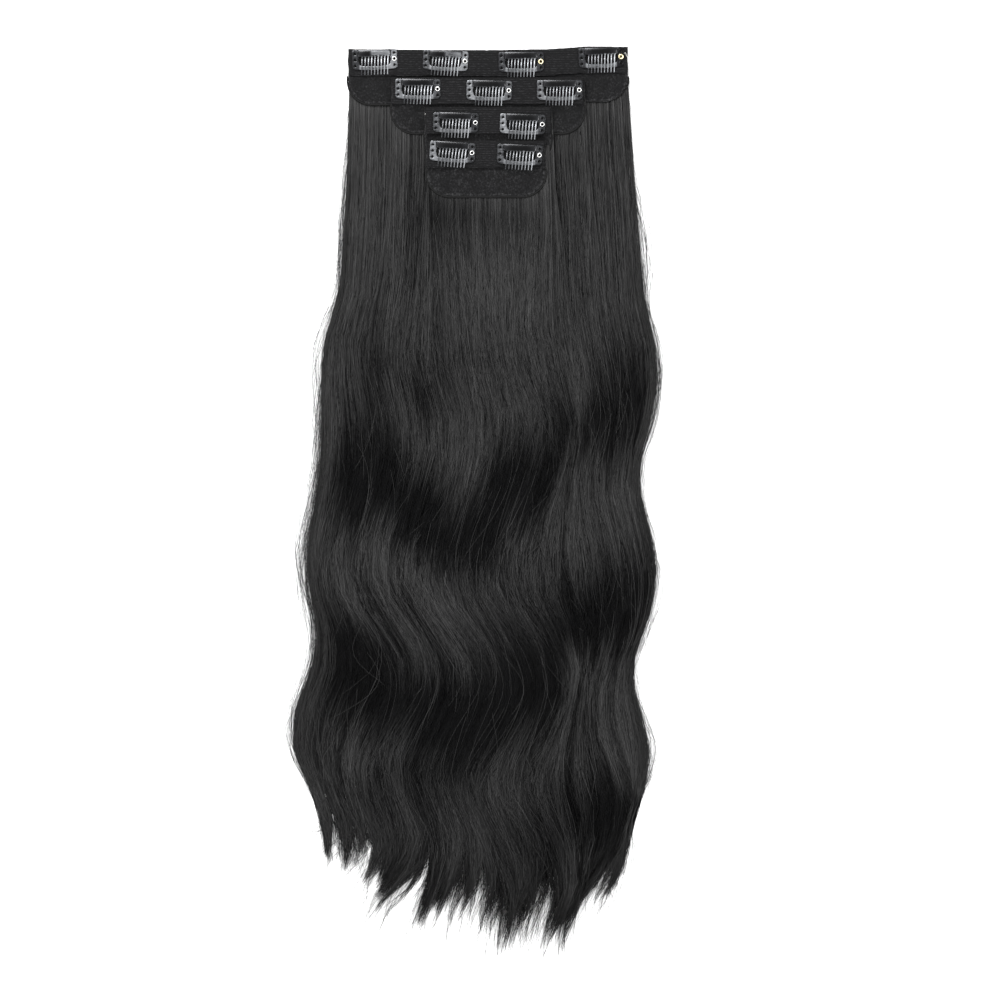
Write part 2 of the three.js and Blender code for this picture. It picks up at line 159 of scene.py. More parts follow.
def hair_material(name, shade, gloss):
    """Synthetic fibre: near black, a soft gloss, streaked along the strands."""
    material, tree, shader = new_material(name, {"Specular IOR Level": 0.07})
    streaks = noise(tree, (1300, 40, 1300), detail=4.0)
    # the mesh's tone carries the hair's painted highlight and painted shade
    value = multiply(tree, mesh_tone(tree), remap(tree, streaks, 0.3, 0.7, 0.5, 1.35))
    # shade below 1 makes a darker copy of the hair, painted shade
    dark = tuple(c * shade for c in (0.0012, 0.0012, 0.0014))
    light = tuple(c * shade for c in (0.0452, 0.0450, 0.0450))
    rough = remap(tree, streaks, 0.3, 0.7, gloss - 0.06, gloss + 0.08)
    paint(tree, shader, value, [(0.0, dark), (1.0, light)], rough)
    bump(tree, shader, streaks, 0.35, 0.25 * MM)
    return material


def felt_material():
    """Black felt: matted fibres with grey flecks and a little pilling."""
    sockets = {"Specular IOR Level": 0.1, "Sheen Weight": 0.03, "Sheen Roughness": 0.6}
    material, tree, shader = new_material("felt", sockets)
    fibres = noise(tree, (760, 620, 760), detail=6.0, roughness=0.78)
    clouds = noise(tree, (130, 130, 130), detail=2.0)
    flecks = remap(tree, fibres, 0.38, 0.72, 0.0, 1.0)
    matted = multiply(tree, flecks, remap(tree, clouds, 0.3, 0.7, 0.65, 1.1))
    stops = [(0.0, (0.0015, 0.0015, 0.0016)), (0.4, (0.006, 0.006, 0.0064)), (1.0, (0.034, 0.034, 0.035))]
    rough = remap(tree, fibres, 0.3, 0.7, 0.82, 1.0)
    # the mesh's tone lightens the hem strip as a painted highlight
    paint(tree, shader, multiply(tree, matted, mesh_tone(tree)), stops, rough)
    bump(tree, shader, fibres, 0.9, 0.5 * MM)
    return material


def tape_material():
    """Ribbed tape: fine rows of stitches across the weft."""
    material, tree, shader = new_material("tape", {"Specular IOR Level": 0.12})
    place = stretched(tree, (40, 190, 190))
    ribs = add_node(tree, "TexWave", Vector=place, Scale=1.0, Distortion=2.2, Detail=3.0, Detail_Scale=1.4)
    ribs.wave_type = "BANDS"
    ribs.bands_direction = "Y"
    fibres = noise(tree, (500, 1500, 900), detail=4.0, roughness=0.7)
    rows = remap(tree, ribs.outputs["Fac"], 0.0, 1.0, 0.5, 1.0)
    knit = multiply(tree, rows, remap(tree, fibres, 0.35, 0.72, 0.15, 1.1))
    stops = [(0.0, (0.0008, 0.0008, 0.0009)), (0.5, (0.006, 0.006, 0.0065)), (1.0, (0.028, 0.028, 0.029))]
    rough = remap(tree, fibres, 0.3, 0.7, 0.7, 0.95)
    # the mesh's tone paints the clips' shadow on the tape
    paint(tree, shader, multiply(tree, knit, mesh_tone(tree)), stops, rough)
    bump(tree, shader, knit, 0.8, 0.35 * MM)
    return material


def thread_material(name, light):
    """Fine sewing thread, twisted, with a little fluff."""
    material, tree, shader = new_material(name, {"Roughness": 0.8, "Specular IOR Level": 0.2})
    twist = noise(tree, (2600, 2600, 2600))
    value = multiply(tree, mesh_tone(tree), remap(tree, twist, 0.3, 0.7, 0.3, 1.0))
    paint(tree, shader, value, [(0.0, (0.003, 0.003, 0.003)), (1.0, light)])
    bump(tree, shader, twist, 0.6, 0.1 * MM)
    return material


def enamel_material():
    """Black lacquer over spring steel with handling marks; the mesh's tone holds painted light: dark where
    it is low, painted highlight and painted reflection in grey where it is high.
    """
    material, tree, shader = new_material("enamel", {"Metallic": 0.55})
    marks = noise(tree, (300, 1100, 500), detail=5.0, roughness=0.65)
    # the mesh's tone is painted light on the clip, varied by the handling marks
    wear_and_painted_light = multiply(tree, mesh_tone(tree), remap(tree, marks, 0.3, 0.7, 0.75, 1.2))
    stops = [(0.0, (0.004, 0.004, 0.0045)), (0.35, (0.03, 0.031, 0.034)), (1.0, (0.36, 0.372, 0.39))]
    paint(tree, shader, wear_and_painted_light, stops, remap(tree, wear_and_painted_light, 0.0, 1.0, 0.2, 0.36))
    bump(tree, shader, marks, 0.2, 0.03 * MM)
    return material


def metal_material(name, colour, dark):
    """Polished sheet metal with faint handling marks and a duller tone in its hollows."""
    material, tree, shader = new_material(name, {"Metallic": 0.9})
    marks = noise(tree, (260, 900, 400), detail=5.0, roughness=0.65)
    paint(tree, shader, marks, [(0.25, dark), (0.7, colour)], remap(tree, marks, 0.3, 0.7, 0.46, 0.29))
    bump(tree, shader, marks, 0.2, 0.03 * MM)
    return material


def floor_material():
    material, tree, shader = new_material("floor", {"Roughness": 0.9})
    clouds = noise(tree, (3, 3, 3), detail=2.0)
    paint(tree, shader, clouds, [(0.3, (0.90, 0.90, 0.90)), (0.7, (0.92, 0.92, 0.92))])
    return material


# Every look of the object, by name
LOOKS = {
    "hair": hair_material("hair", 1.0, 0.42),
    # the mass under the strands: a darker copy of the hair, painted shade
    "core": hair_material("hair_core_painted_shade", 0.8, 0.5),
    "felt": felt_material(),
    "tape": tape_material(),
    "thread": thread_material("thread", (0.045, 0.045, 0.047)),
    "pale_thread": thread_material("pale_thread", (0.75, 0.74, 0.70)),
    "enamel": enamel_material(),
    "nickel": metal_material("nickel", (0.95, 0.95, 0.94), (0.78, 0.78, 0.76)),
    "brass": metal_material("brass", (0.95, 0.86, 0.58), (0.72, 0.62, 0.38)),
}


# Meshes


def link_mesh(name, mesh, look):
    piece = bpy.data.objects.new(name, mesh)
    bpy.context.scene.collection.objects.link(piece)
    mesh.materials.clear()
    mesh.materials.append(LOOKS[look])
    return piece


def mesh_from_arrays(name, points, quads, tone=None):
    """A smooth mesh from an array of points and one of quads or triangles."""
    mesh = bpy.data.meshes.new(name)
    mesh.vertices.add(len(points))
    mesh.vertices.foreach_set("co", np.ascontiguousarray(points, dtype=np.float32).ravel())
    sizes = np.concatenate([np.full(len(f), f.shape[1]) for f in quads])
    loops = np.concatenate([f.ravel() for f in quads])
    mesh.loops.add(len(loops))
    mesh.loops.foreach_set("vertex_index", loops.astype(np.int32))
    mesh.polygons.add(len(sizes))
    starts = np.concatenate([[0], np.cumsum(sizes)[:-1]])
    mesh.polygons.foreach_set("loop_start", starts.astype(np.int32))
    mesh.polygons.foreach_set("loop_total", sizes.astype(np.int32))
    mesh.polygons.foreach_set("use_smooth", np.ones(len(sizes), dtype=bool))
    mesh.update(calc_edges=True)
    mesh.validate()
    if tone is not None:
        layer = mesh.attributes.new("tone", "FLOAT", "POINT")
        layer.data.foreach_set("value", np.ascontiguousarray(tone, dtype=np.float32))
    return mesh


def squares(index):
    """The quads between neighbours in a grid of point numbers."""
    corners = [index[:-1, :-1], index[1:, :-1], index[1:, 1:], index[:-1, 1:]]
    return np.stack(corners, axis=2).reshape(-1, 4)


def ray_tree(mesh):
    return BVHTree.FromPolygons([v.co for v in mesh.vertices], [p.vertices for p in mesh.polygons])


def level(tree, x, y, down=True):
    """Height at which a vertical ray first meets a mesh, from above or from below."""
    start = Vector((x, y, 0.2 if down else -0.2))
    hit = tree.ray_cast(start, Vector((0, 0, -1 if down else 1)))[0]
    return None if hit is None else hit.z


# Hair: where it runs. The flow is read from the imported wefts: their side edges at each distance down.

ROWS = 160
LOW_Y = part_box("weft_1_hair")[0].y
HIGH_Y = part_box("weft_1_hair")[1].y
ROW_Y = np.linspace(HIGH_Y - 0.2 * MM, LOW_Y + 0.2 * MM, ROWS)
LIMITS = {1: 1.0, 2: 0.7, 3: 0.5, 4: 0.4}
# The pixel row where the locks part
CROTCH_PX = 836
CROTCH_Y = place_y(CROTCH_PX)


def smoothstep(t):
    t = np.clip(t, 0, 1)
    return t * t * (3 - 2 * t)


def smooth_rows(values, sigma_mm):
    """A Gaussian blur along the rows."""
    step = abs(ROW_Y[1] - ROW_Y[0])
    reach = int(3 * sigma_mm * MM / step) + 1
    offsets = np.arange(-reach, reach + 1)
    weights = np.exp(-0.5 * (offsets * step / (sigma_mm * MM)) ** 2)
    weights /= weights.sum()
    padded = np.pad(values, [(reach, reach)] + [(0, 0)] * (values.ndim - 1), mode="edge")
    return sum(w * padded[i : i + len(values)] for i, w in enumerate(weights))


def side_edges(weft):
    """The weft's lowest and highest x at each row, held still above its root and below where locks part."""
    mesh = frame["nodes"][f"weft_{weft}_hair"].data
    co = np.array([v.co for v in mesh.vertices])
    ends = np.array([e.vertices for e in mesh.edges])
    a, b = co[ends[:, 0]], co[ends[:, 1]]
    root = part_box(f"weft_{weft}_hair")[1].y - 0.3 * MM
    rows = np.clip(ROW_Y, CROTCH_Y, root)
    edges = np.zeros((ROWS, 2))
    for i, y in enumerate(rows):
        crosses = (a[:, 1] - y) * (b[:, 1] - y) < 0
        t = (y - a[crosses, 1]) / (b[crosses, 1] - a[crosses, 1])
        x = a[crosses, 0] + t * (b[crosses, 0] - a[crosses, 0])
        edges[i] = x.min(), x.max()
    return smooth_rows(edges, 6.0)


EDGES = {weft: side_edges(weft) for weft in WEFTS}
PARTS = np.array([-1.0, -0.7, -0.5, -0.4, 0.4, 0.5, 0.7, 1.0])
FLOW = np.stack(
    [EDGES[w][:, 0] for w in (1, 2, 3, 4)] + [EDGES[w][:, 1] for w in (4, 3, 2, 1)], axis=1
)


# Where single strands turn left and right in the photograph, in its pixels: heights, then each strand's x
TURN_Y = (230, 340, 465, 585, 705, 805, 870)
TURN_X = (
    (377, 361, 372, 350, 392, 368, 386),
    (399, 387, 402, 383, 422, 403, 422),
    (443, 447, 463, 438, 480, 457, 474),
    (487, 490, 504, 474, 516, 484, 510),
    (531, 526, 552, 526, 560, 534, 562),
    (575, 584, 588, 606, 592, 611, 602),
    (597, 606, 607, 630, 606, 629, 615),
)


def row_of(y):
    return np.clip((ROW_Y[0] - y) / (ROW_Y[0] - ROW_Y[-1]) * (ROWS - 1), 0, ROWS - 1.001)


def column_of(places, part):
    """The column before a share across the spread, and how far on it lies towards the next."""
    left = np.clip(np.searchsorted(places, part) - 1, 0, len(places) - 2)
    return left, (part - places[left]) / (places[left + 1] - places[left])


def grid_value(grid, row, left, share):
    """A grid's values between its rows, and between a column and the next."""
    low = row.astype(int)
    t = row - low
    upper = grid[low, left] * (1 - share) + grid[low, left + 1] * share
    lower = grid[low + 1, left] * (1 - share) + grid[low + 1, left + 1] * share
    return upper * (1 - t) + lower * t


def base_x(part, y):
    """Where the hair at a share across the spread lies at y, between the wefts' own sides."""
    return grid_value(FLOW, row_of(y), *column_of(PARTS, part))


def line_shifts():
    """How far each traced strand lies from the even spread: shares across and metres by row."""
    rows = place_y(np.array(TURN_Y))
    shares = np.linspace(-1, 1, 401)
    start = base_x(shares, np.full(401, rows[0]))
    parts, shifts = [-1.0], [np.zeros(ROWS)]
    for line in TURN_X:
        part = np.interp(place_x(line[0]), start, shares)
        apart = place_x(np.array(line)) - base_x(np.full(len(rows), part), rows)
        parts.append(part)
        knot = np.clip(np.searchsorted(-rows, -ROW_Y) - 1, 0, len(rows) - 2)
        share = smoothstep((rows[knot] - ROW_Y) / (rows[knot] - rows[knot + 1]))
        shifts.append(apart[knot] * (1 - share) + apart[knot + 1] * share)
    return np.array(parts + [1.0]), smooth_rows(np.stack(shifts + [np.zeros(ROWS)], axis=1), 9.0)


SHIFT_PARTS, SHIFTS = line_shifts()


def flow_x(part, y):
    """Where the hair at a share across the spread lies at y, with the photograph's waves inside it."""
    left, share = column_of(SHIFT_PARTS, part)
    return base_x(part, y) + grid_value(SHIFTS, row_of(y), left, share * share * (3 - 2 * share))


COLUMNS = 41
# The outermost columns of heights lie just inside the weft's sides
SPAN = 0.985


def top_heights(weft):
    """The weft's upper surface over a grid of rows and shares across it, smoothed."""
    tree = ray_tree(frame["nodes"][f"weft_{weft}_hair"].data)
    heights = np.full((ROWS, COLUMNS), np.nan)
    for j, part in enumerate(np.linspace(-SPAN, SPAN, COLUMNS) * LIMITS[weft]):
        for i, (x, y) in enumerate(zip(flow_x(np.full(ROWS, part), ROW_Y), ROW_Y)):
            z = level(tree, x, y)
            if z is not None:
                heights[i, j] = z
        known = np.flatnonzero(~np.isnan(heights[:, j]))
        heights[:, j] = np.interp(np.arange(ROWS), known, heights[known, j])
    return smooth_rows(heights, 14.0)


HEIGHTS = {weft: top_heights(weft) for weft in WEFTS}


def hair_top(weft, part, y):
    column = np.clip((part / LIMITS[weft] / SPAN + 1) / 2 * (COLUMNS - 1), 0, COLUMNS - 1.001)
    left = column.astype(int)
    return grid_value(HEIGHTS[weft], row_of(y), left, column - left)


# The photograph's lock tips, in its pixels, and the share across the spread that feeds each
TIPS = (
    (311, 842, -1.00), (329, 868, -0.95), (344, 880, -0.88), (361, 893, -0.80), (379, 907, -0.71),
    (374, 932, -0.60), (412, 947, -0.50), (441, 944, -0.39), (460, 934, -0.29), (480, 950, -0.18),
    (502, 968, -0.06), (512, 957, 0.05), (528, 952, 0.16), (540, 958, 0.28), (556, 964, 0.40),
    (556, 944, 0.50), (566, 930, 0.62), (592, 898, 0.71), (599, 920, 0.80), (604, 908, 0.91),
    (611, 894, 1.00),
)

# Painted light and shade on the hair's colour, in the photograph's pixels: centre, half length and half
# width, turn in degrees, and how much lighter or darker. The first rows are the waves' dark and bright
# bands, painted shade and painted highlight, the rest are smaller.
PAINTED_HAIR_LIGHT = (
    (362, 464, 44, 32, 30, -0.50), (402, 504, 46, 30, 40, -0.50), (521, 486, 20, 36, 0, -0.40),
    (430, 394, 10, 18, -20, -0.35), (607, 430, 16, 34, 0, -0.35), (533, 512, 12, 26, 0, -0.30),
    (360, 676, 34, 60, 10, -0.40), (490, 700, 70, 46, 0, -0.35), (618, 580, 38, 46, 0, -0.35),
    (425, 492, 70, 34, 38, -0.75), (497, 505, 34, 44, 60, -0.50), (540, 455, 44, 38, -45, -0.62),
    (627, 396, 56, 32, -50, -0.70), (348, 640, 50, 38, 40, -0.62), (430, 690, 84, 38, 22, -0.80),
    (545, 695, 40, 44, -60, -0.72), (608, 612, 62, 38, -12, -0.80), (612, 812, 36, 50, -60, -0.55),
    (455, 815, 60, 26, 20, -0.22), (540, 850, 50, 40, 0, -0.20), (420, 880, 70, 30, 10, -0.25),
    (372, 553, 56, 28, 35, 0.40), (440, 598, 48, 26, 50, 0.22), (515, 566, 60, 26, -70, 0.35),
    (413, 670, 12, 34, -24, 0.42), (461, 664, 8, 28, -14, 0.32), (546, 607, 14, 22, -40, 0.30),
    (604, 500, 46, 28, 60, 0.30), (362, 748, 54, 30, 30, 0.35), (500, 772, 60, 28, -70, 0.26),
    (600, 700, 44, 24, 60, 0.36), (480, 372, 60, 24, 0, -0.08), (420, 230, 150, 60, 0, 0.04),
    (433, 222, 22, 36, 0, -0.30), (495, 210, 52, 18, 0, -0.24), (503, 284, 30, 24, 0, 0.22),
    (444, 343, 9, 22, -5, -0.22), (352, 322, 26, 14, 0, -0.18), (422, 396, 9, 18, -15, -0.40),
    (376, 372, 26, 16, 60, -0.28), (328, 450, 13, 46, 0, 0.50), (418, 448, 24, 26, 20, 0.62),
    (458, 484, 11, 24, -10, 0.72), (483, 472, 8, 30, -5, 0.72), (526, 422, 24, 30, 0, 0.44),
    (514, 534, 16, 12, 0, 0.62), (346, 504, 22, 18, 0, -0.55), (432, 538, 40, 22, 30, -0.70),
    (485, 545, 13, 32, 12, -0.45), (583, 380, 14, 24, 0, 0.44), (579, 470, 7, 50, 0, 0.45),
    (554, 490, 9, 18, 0, 0.30), (594, 562, 34, 24, 30, 0.56), (562, 590, 12, 24, 0, 0.26),
    (652, 398, 11, 24, 0, -0.50), (634, 334, 16, 18, 0, 0.30), (516, 576, 20, 12, 0, -0.32),
    (358, 606, 44, 15, 40, 0.60), (424, 652, 32, 20, 20, 0.48), (462, 622, 36, 12, 15, -0.32),
    (398, 602, 9, 26, -30, -0.28), (576, 690, 30, 16, -40, 0.72), (636, 668, 20, 12, -30, 0.36),
    (596, 646, 24, 12, 0, -0.55), (608, 712, 20, 16, 0, -0.26), (570, 756, 30, 36, 0, 0.42),
    (532, 744, 18, 14, 0, 0.36), (468, 756, 28, 18, 0, -0.48), (410, 800, 50, 20, 0, -0.16),
    (420, 728, 16, 30, 10, -0.42), (380, 776, 36, 14, 0, -0.40), (302, 750, 14, 20, 0, -0.45),
    (634, 785, 8, 20, -15, 0.24), (616, 745, 8, 24, -20, 0.26), (340, 555, 14, 20, 0, -0.26),
)


def painted_hair_light_at(x, y):
    """How much lighter or darker than plain hair the photograph is at a place, painted into the hair's
    colour as painted highlight and painted shade.
    """
    tone = np.zeros_like(x)
    for px, py, half_length, half_width, turn, amount in PAINTED_HAIR_LIGHT:
        across, down = (x - place_x(px)) / PIXEL, (place_y(py) - y) / PIXEL
        c, s = math.cos(math.radians(turn)), math.sin(math.radians(turn))
        along, aside = (across * c + down * s) / half_length, (down * c - across * s) / half_width
        tone += amount * np.exp(-0.7 * (along**2 + aside**2))
    return tone


STEPS = 19
FRINGE_STEPS = 9
LOOSE_STEPS = 15
TIP_STEPS = 11
# The photograph's pixel rows between which the strands start that show only at their ends, where the
# flyaway hairs end at the lowest, and where the stray hairs start and how far down they go
ENDS_PX = (640, 730)
FLYAWAY_PX = 800
STRAY_PX = 200
STRAY_SPAN_PX = 520
# How far from the middle each weft comes out from under the next one, as a share of its own half width
BARE = {1: 0.64, 2: 0.66, 3: 0.72, 4: 0.0}
# How far the strands of each weft spill over its sides onto the weft below, as a share of its half width
SPILL = {1: 0.0, 2: 0.09, 3: 0.12, 4: 0.14}


def tip_table():
    return np.array([(place_x(px), place_y(py), share) for px, py, share in TIPS])


def strand_lines(weft, count, rng, fringe=False):
    """Centre lines of a weft's strands, whole or only their lower ends, with each point's tone."""
    limit = LIMITS[weft]
    spill = SPILL[weft]
    root_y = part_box(f"weft_{weft}_hair")[1].y - 1.0 * MM
    lock_rng = np.random.default_rng(900 + weft)
    locks = max(int(42 * limit), 13)
    bounds = np.cumsum(lock_rng.uniform(0.5, 1.5, locks))
    bounds = np.concatenate([[0], bounds]) / bounds[-1] * 2 - 1
    if fringe or weft == 4:
        spot = rng.uniform(-1 - spill, 1 + spill, count)
        if weft == 1:
            spot = np.where(rng.uniform(0, 1, count) < 0.3, rng.uniform(-1, -0.55, count), spot)
    else:
        left = 0.62 if weft == 1 else 0.5
        side = np.where(rng.uniform(0, 1, count) < left, -1.0, 1.0)
        spot = side * np.minimum(rng.uniform(BARE[weft], 1.02 + spill, count), 1 + spill)
    lock = np.clip(np.searchsorted(bounds, spot) - 1, 0, locks - 1)
    lock_part = ((bounds[1:] + bounds[:-1]) / 2)[lock]
    within = np.clip((spot - lock_part) / ((bounds[1:] - bounds[:-1]) / 2)[lock], -1, 1)
    part0 = spot * limit
    centre0 = lock_part * limit
    # each lock ends near one of the photograph's tips, or between two of them and a little above
    tips = tip_table()
    nearest = np.abs(tips[None, :, 2] - centre0[:, None]).argmin(axis=1)
    pull = lock_rng.uniform(0.3, 1.0, locks)[lock]
    inner = 1 - smoothstep((np.abs(centre0) - 0.8) / 0.15)
    shift_x = lock_rng.normal(0, 3 * MM, locks)[lock] * inner
    shift_y = np.abs(lock_rng.normal(0, 11 * MM, locks))[lock] * (1.0 if weft > 1 else 0.5 * inner)
    bulge = lock_rng.uniform(0.25, 1.0, locks)[lock] * 11 * MM * inner
    lock_tone = lock_rng.normal(0, 0.09, locks)[lock]
    even_x = np.interp(centre0, tips[:, 2], tips[:, 0])
    even_y = np.interp(centre0, tips[:, 2], tips[:, 1])
    tip_x = even_x + (tips[nearest, 0] - even_x) * pull + shift_x
    lock_end = even_y + (tips[nearest, 1] - even_y) * pull + shift_y
    turn_y = CROTCH_Y + lock_rng.uniform(-14, 12, locks)[lock] * MM
    turn_y = np.maximum(turn_y, lock_end + 38 * MM)
    short = np.abs(within) ** 0.9 * lock_rng.uniform(0.35, 0.75, locks)[lock] * (turn_y - lock_end)
    outer = ((lock == 0) & (within < 0)) | ((lock == locks - 1) & (within > 0))
    short = np.where(outer, 0.25 * short, short)
    tip_y = np.minimum(lock_end + short + rng.exponential(10 * MM, count), turn_y + 6 * MM)
    if fringe:
        s = np.linspace(0, 1, FRINGE_STEPS)
        start = place_y(rng.uniform(*ENDS_PX, count))
    else:
        s = np.linspace(0, 1, STEPS) ** 0.8
        start = np.full(count, root_y)
    y = start[:, None] + (tip_y - start)[:, None] * s[None, :]
    down = np.clip((root_y - y) / (root_y - CROTCH_Y), 0, 1.3)
    wander = sum(
        rng.normal(0, 1, count)[:, None]
        * np.sin(2 * np.pi * (y / pitch + rng.uniform(0, 1, count)[:, None]))
        for pitch in (0.13, 0.21, 0.34)
    )
    gather = 0.12 * smoothstep((down - 0.15) / 0.8)
    loose = np.where(rng.uniform(0, 1, count) < 0.25, 3.5, 1.0)[:, None]
    part = centre0[:, None] + (part0 - centre0)[:, None] * (1 - gather)
    part = part + loose * wander * 0.006 * smoothstep(down / 0.2) / max(limit, 0.5)
    # strands stay within the weft at its felt and spread over its sides further down
    beyond = np.clip(np.abs(part) - limit, 0, min(limit * spill, 1.0 - limit))
    part = np.sign(part) * (np.minimum(np.abs(part), limit) + beyond * smoothstep((down - 0.07) / 0.25))
    x = flow_x(part, y)
    # past the parting a strand bows out to the right and hooks back to its lock's tip
    past = smoothstep((turn_y[:, None] - y) / (turn_y - lock_end)[:, None])
    spread = (part0 - centre0)[:, None] * 0.07
    x = x * (1 - past) + (tip_x[:, None] + spread) * past
    x = x + bulge[:, None] * np.sin(np.pi * past**1.25)
    x = x + wander * 0.6 * MM * smoothstep((down - 0.6) / 0.4)
    level_y = np.maximum(y, CROTCH_Y)
    z = hair_top(weft, part, level_y)
    if spill:
        beside = hair_top(weft - 1, part, level_y) + 0.3 * MM
        over = smoothstep((np.abs(part) / limit - 1) / spill)
        z = z * (1 - over) + beside * over
    low = 0.9 * MM + 1.0 * MM * (weft - 1)
    tail = np.clip((CROTCH_Y - y) / (CROTCH_Y - LOW_Y), 0, 1)
    z = z * (1 - tail) + low * tail
    depth = rng.uniform(-0.8, 0.4, count) * MM
    z = z + depth[:, None] * smoothstep(down / 0.1 + 0.3)
    # each lock is a little rounded, and lies a little above or below its neighbours
    rise = lock_rng.uniform(-0.4, 0.4, locks)[lock] - 0.5 * np.abs(within) ** 2
    z = z + rise[:, None] * MM * smoothstep((down - 0.25) / 0.5)
    z = np.maximum(z + wander * 0.12 * MM * smoothstep(down / 0.3), 0.35 * MM)
    # painted shade between locks: strands are painted darker towards their lock's edges, further down the
    # hair
    lock_edge_shade = 0.26 * (np.abs(within) ** 3)[:, None] * smoothstep((down - 0.35) / 0.4)
    lock_tone = lock_tone[:, None] * (0.1 + 0.9 * smoothstep((down - 0.3) / 0.3))
    # each painted band of highlight and shade ends at its own height on each lock and each strand
    ragged = (lock_rng.normal(0, 8 * MM, locks)[lock] + rng.normal(0, 4.5 * MM, count))[:, None]
    # each strand's own tone varies at random; about one strand in seven is painted lighter as a painted
    # highlight, and about one in seven darker
    highlight_and_dark_draw = rng.uniform(0, 1, count)
    own = rng.normal(0, 0.18, count) + np.where(highlight_and_dark_draw < 0.15, 0.45, 0.0) - np.where(highlight_and_dark_draw > 0.86, 0.3, 0.0)
    shade = painted_hair_light_at(x, y + ragged)
    # where painted shade falls the strands' own scatter is calmed and the painted shade deepened, so the
    # dark bands read as even shadow
    calm = np.clip(1 + 1.3 * shade, 0.3, 1.15)
    shade = np.where(shade < 0, 1.25, 1.05) * shade
    tone = 0.52 + (own[:, None] + lock_tone) * calm - lock_edge_shade * calm + shade
    return np.stack([x, y, z], axis=2), np.clip(tone, 0.02, 1.8)


def flyaway_lines(count, rng):
    """Fine hairs that stand off the sides, alone or in wisps, mostly at the upper left."""
    wisps = 22
    own = rng.uniform(0, 1, count) < 0.45
    wisp = rng.integers(0, wisps, count)

    def shared(draw, loose):
        """One value for each wisp, with a little scatter, or one for each hair that is alone."""
        return np.where(own, draw(count), draw(wisps)[wisp] + rng.normal(0, 1, count) * loose)

    side = np.where(rng.uniform(0, 1, count) < 0.6, -1.0, 1.0)
    side = np.where(own, side, np.where(np.arange(wisps) < 14, -1.0, 1.0)[wisp])
    start = TOP_Y - shared(lambda n: rng.uniform(0.02, 0.5, n), 0.008)
    length = shared(lambda n: rng.uniform(0.08, 0.26, n), 0.01)
    length = np.minimum(length, start - place_y(FLYAWAY_PX))
    s = np.linspace(0, 1, LOOSE_STEPS)
    y = start[:, None] - length[:, None] * s[None, :]
    inside = rng.uniform(0.93, 1.0, count)
    x = flow_x((side * inside)[:, None], y)
    reach = shared(lambda n: rng.gamma(1.6, 4.2, n), 0.5) * MM
    reach = side * np.clip(reach, 0, np.where(side < 0, 16, 11) * MM)
    bow = np.sin(np.pi * s)[None, :] ** 1.3 * shared(lambda n: rng.uniform(0.6, 1, n), 0.04)[:, None]
    open_end = s[None, :] ** 2 * np.where(own, rng.uniform(0, 1, count), 0.15)[:, None]
    x = x + reach[:, None] * np.maximum(bow, open_end)
    z = np.maximum(1.2 * MM + rng.uniform(0, 4, count)[:, None] * MM * bow, 0.4 * MM)
    return np.stack([x, y, z], axis=2), rng.uniform(0.5, 1.3, count)[:, None]


def wisp_lines(count, rng):
    """Thin ends that leave the locks and hook down past their tips."""
    tips = tip_table()
    which = rng.integers(0, len(TIPS), count)
    part = np.clip(tips[which, 2] + rng.normal(0, 0.045, count), -1, 1)
    start = CROTCH_Y + rng.uniform(0, 26, count) * MM
    end = np.maximum(tips[which, 1] + rng.normal(4, 11, count) * MM, LOW_Y + 1 * MM)
    end_x = tips[which, 0] + rng.normal(-2, 7, count) * MM
    s = np.linspace(0, 1, TIP_STEPS)
    y = start[:, None] + (end - start)[:, None] * s[None, :]
    x = flow_x(part[:, None], y)
    past = smoothstep(s)[None, :]
    x = x * (1 - past) + end_x[:, None] * past
    hook = rng.normal(6, 6, count) * MM
    x = x + hook[:, None] * np.sin(np.pi * s)[None, :] * s[None, :]
    z = 2.2 * MM * (1 - s)[None, :] + rng.uniform(0.3, 1.6, count)[:, None] * MM
    return np.stack([x, y, z], axis=2), rng.uniform(0.4, 1.2, count)[:, None]


def stray_lines(count, rng):
    """Single hairs that lie across the others on the top of the mass."""
    part = rng.uniform(-0.9, 0.9, count)
    drift = rng.normal(0, 0.10, count)
    start = place_y(STRAY_PX + STRAY_SPAN_PX * rng.uniform(0, 1, count) ** 1.3)
    length = rng.uniform(40, 130, count) * MM
    s = np.linspace(0, 1, TIP_STEPS)
    y = start[:, None] - length[:, None] * s[None, :]
    bow = rng.normal(0, 0.06, count)[:, None] * np.sin(np.pi * s)[None, :]
    part = np.clip(part[:, None] + drift[:, None] * s[None, :] + bow, -0.97, 0.97)
    x = flow_x(part, y)
    z = np.zeros_like(x)
    for weft in WEFTS:
        z = np.maximum(z, np.where(np.abs(part) > LIMITS[weft], 0, hair_top(weft, part, y)))
    z = z + 0.75 * MM
    return np.stack([x, y, z], axis=2), rng.uniform(0.8, 1.5, count)[:, None]


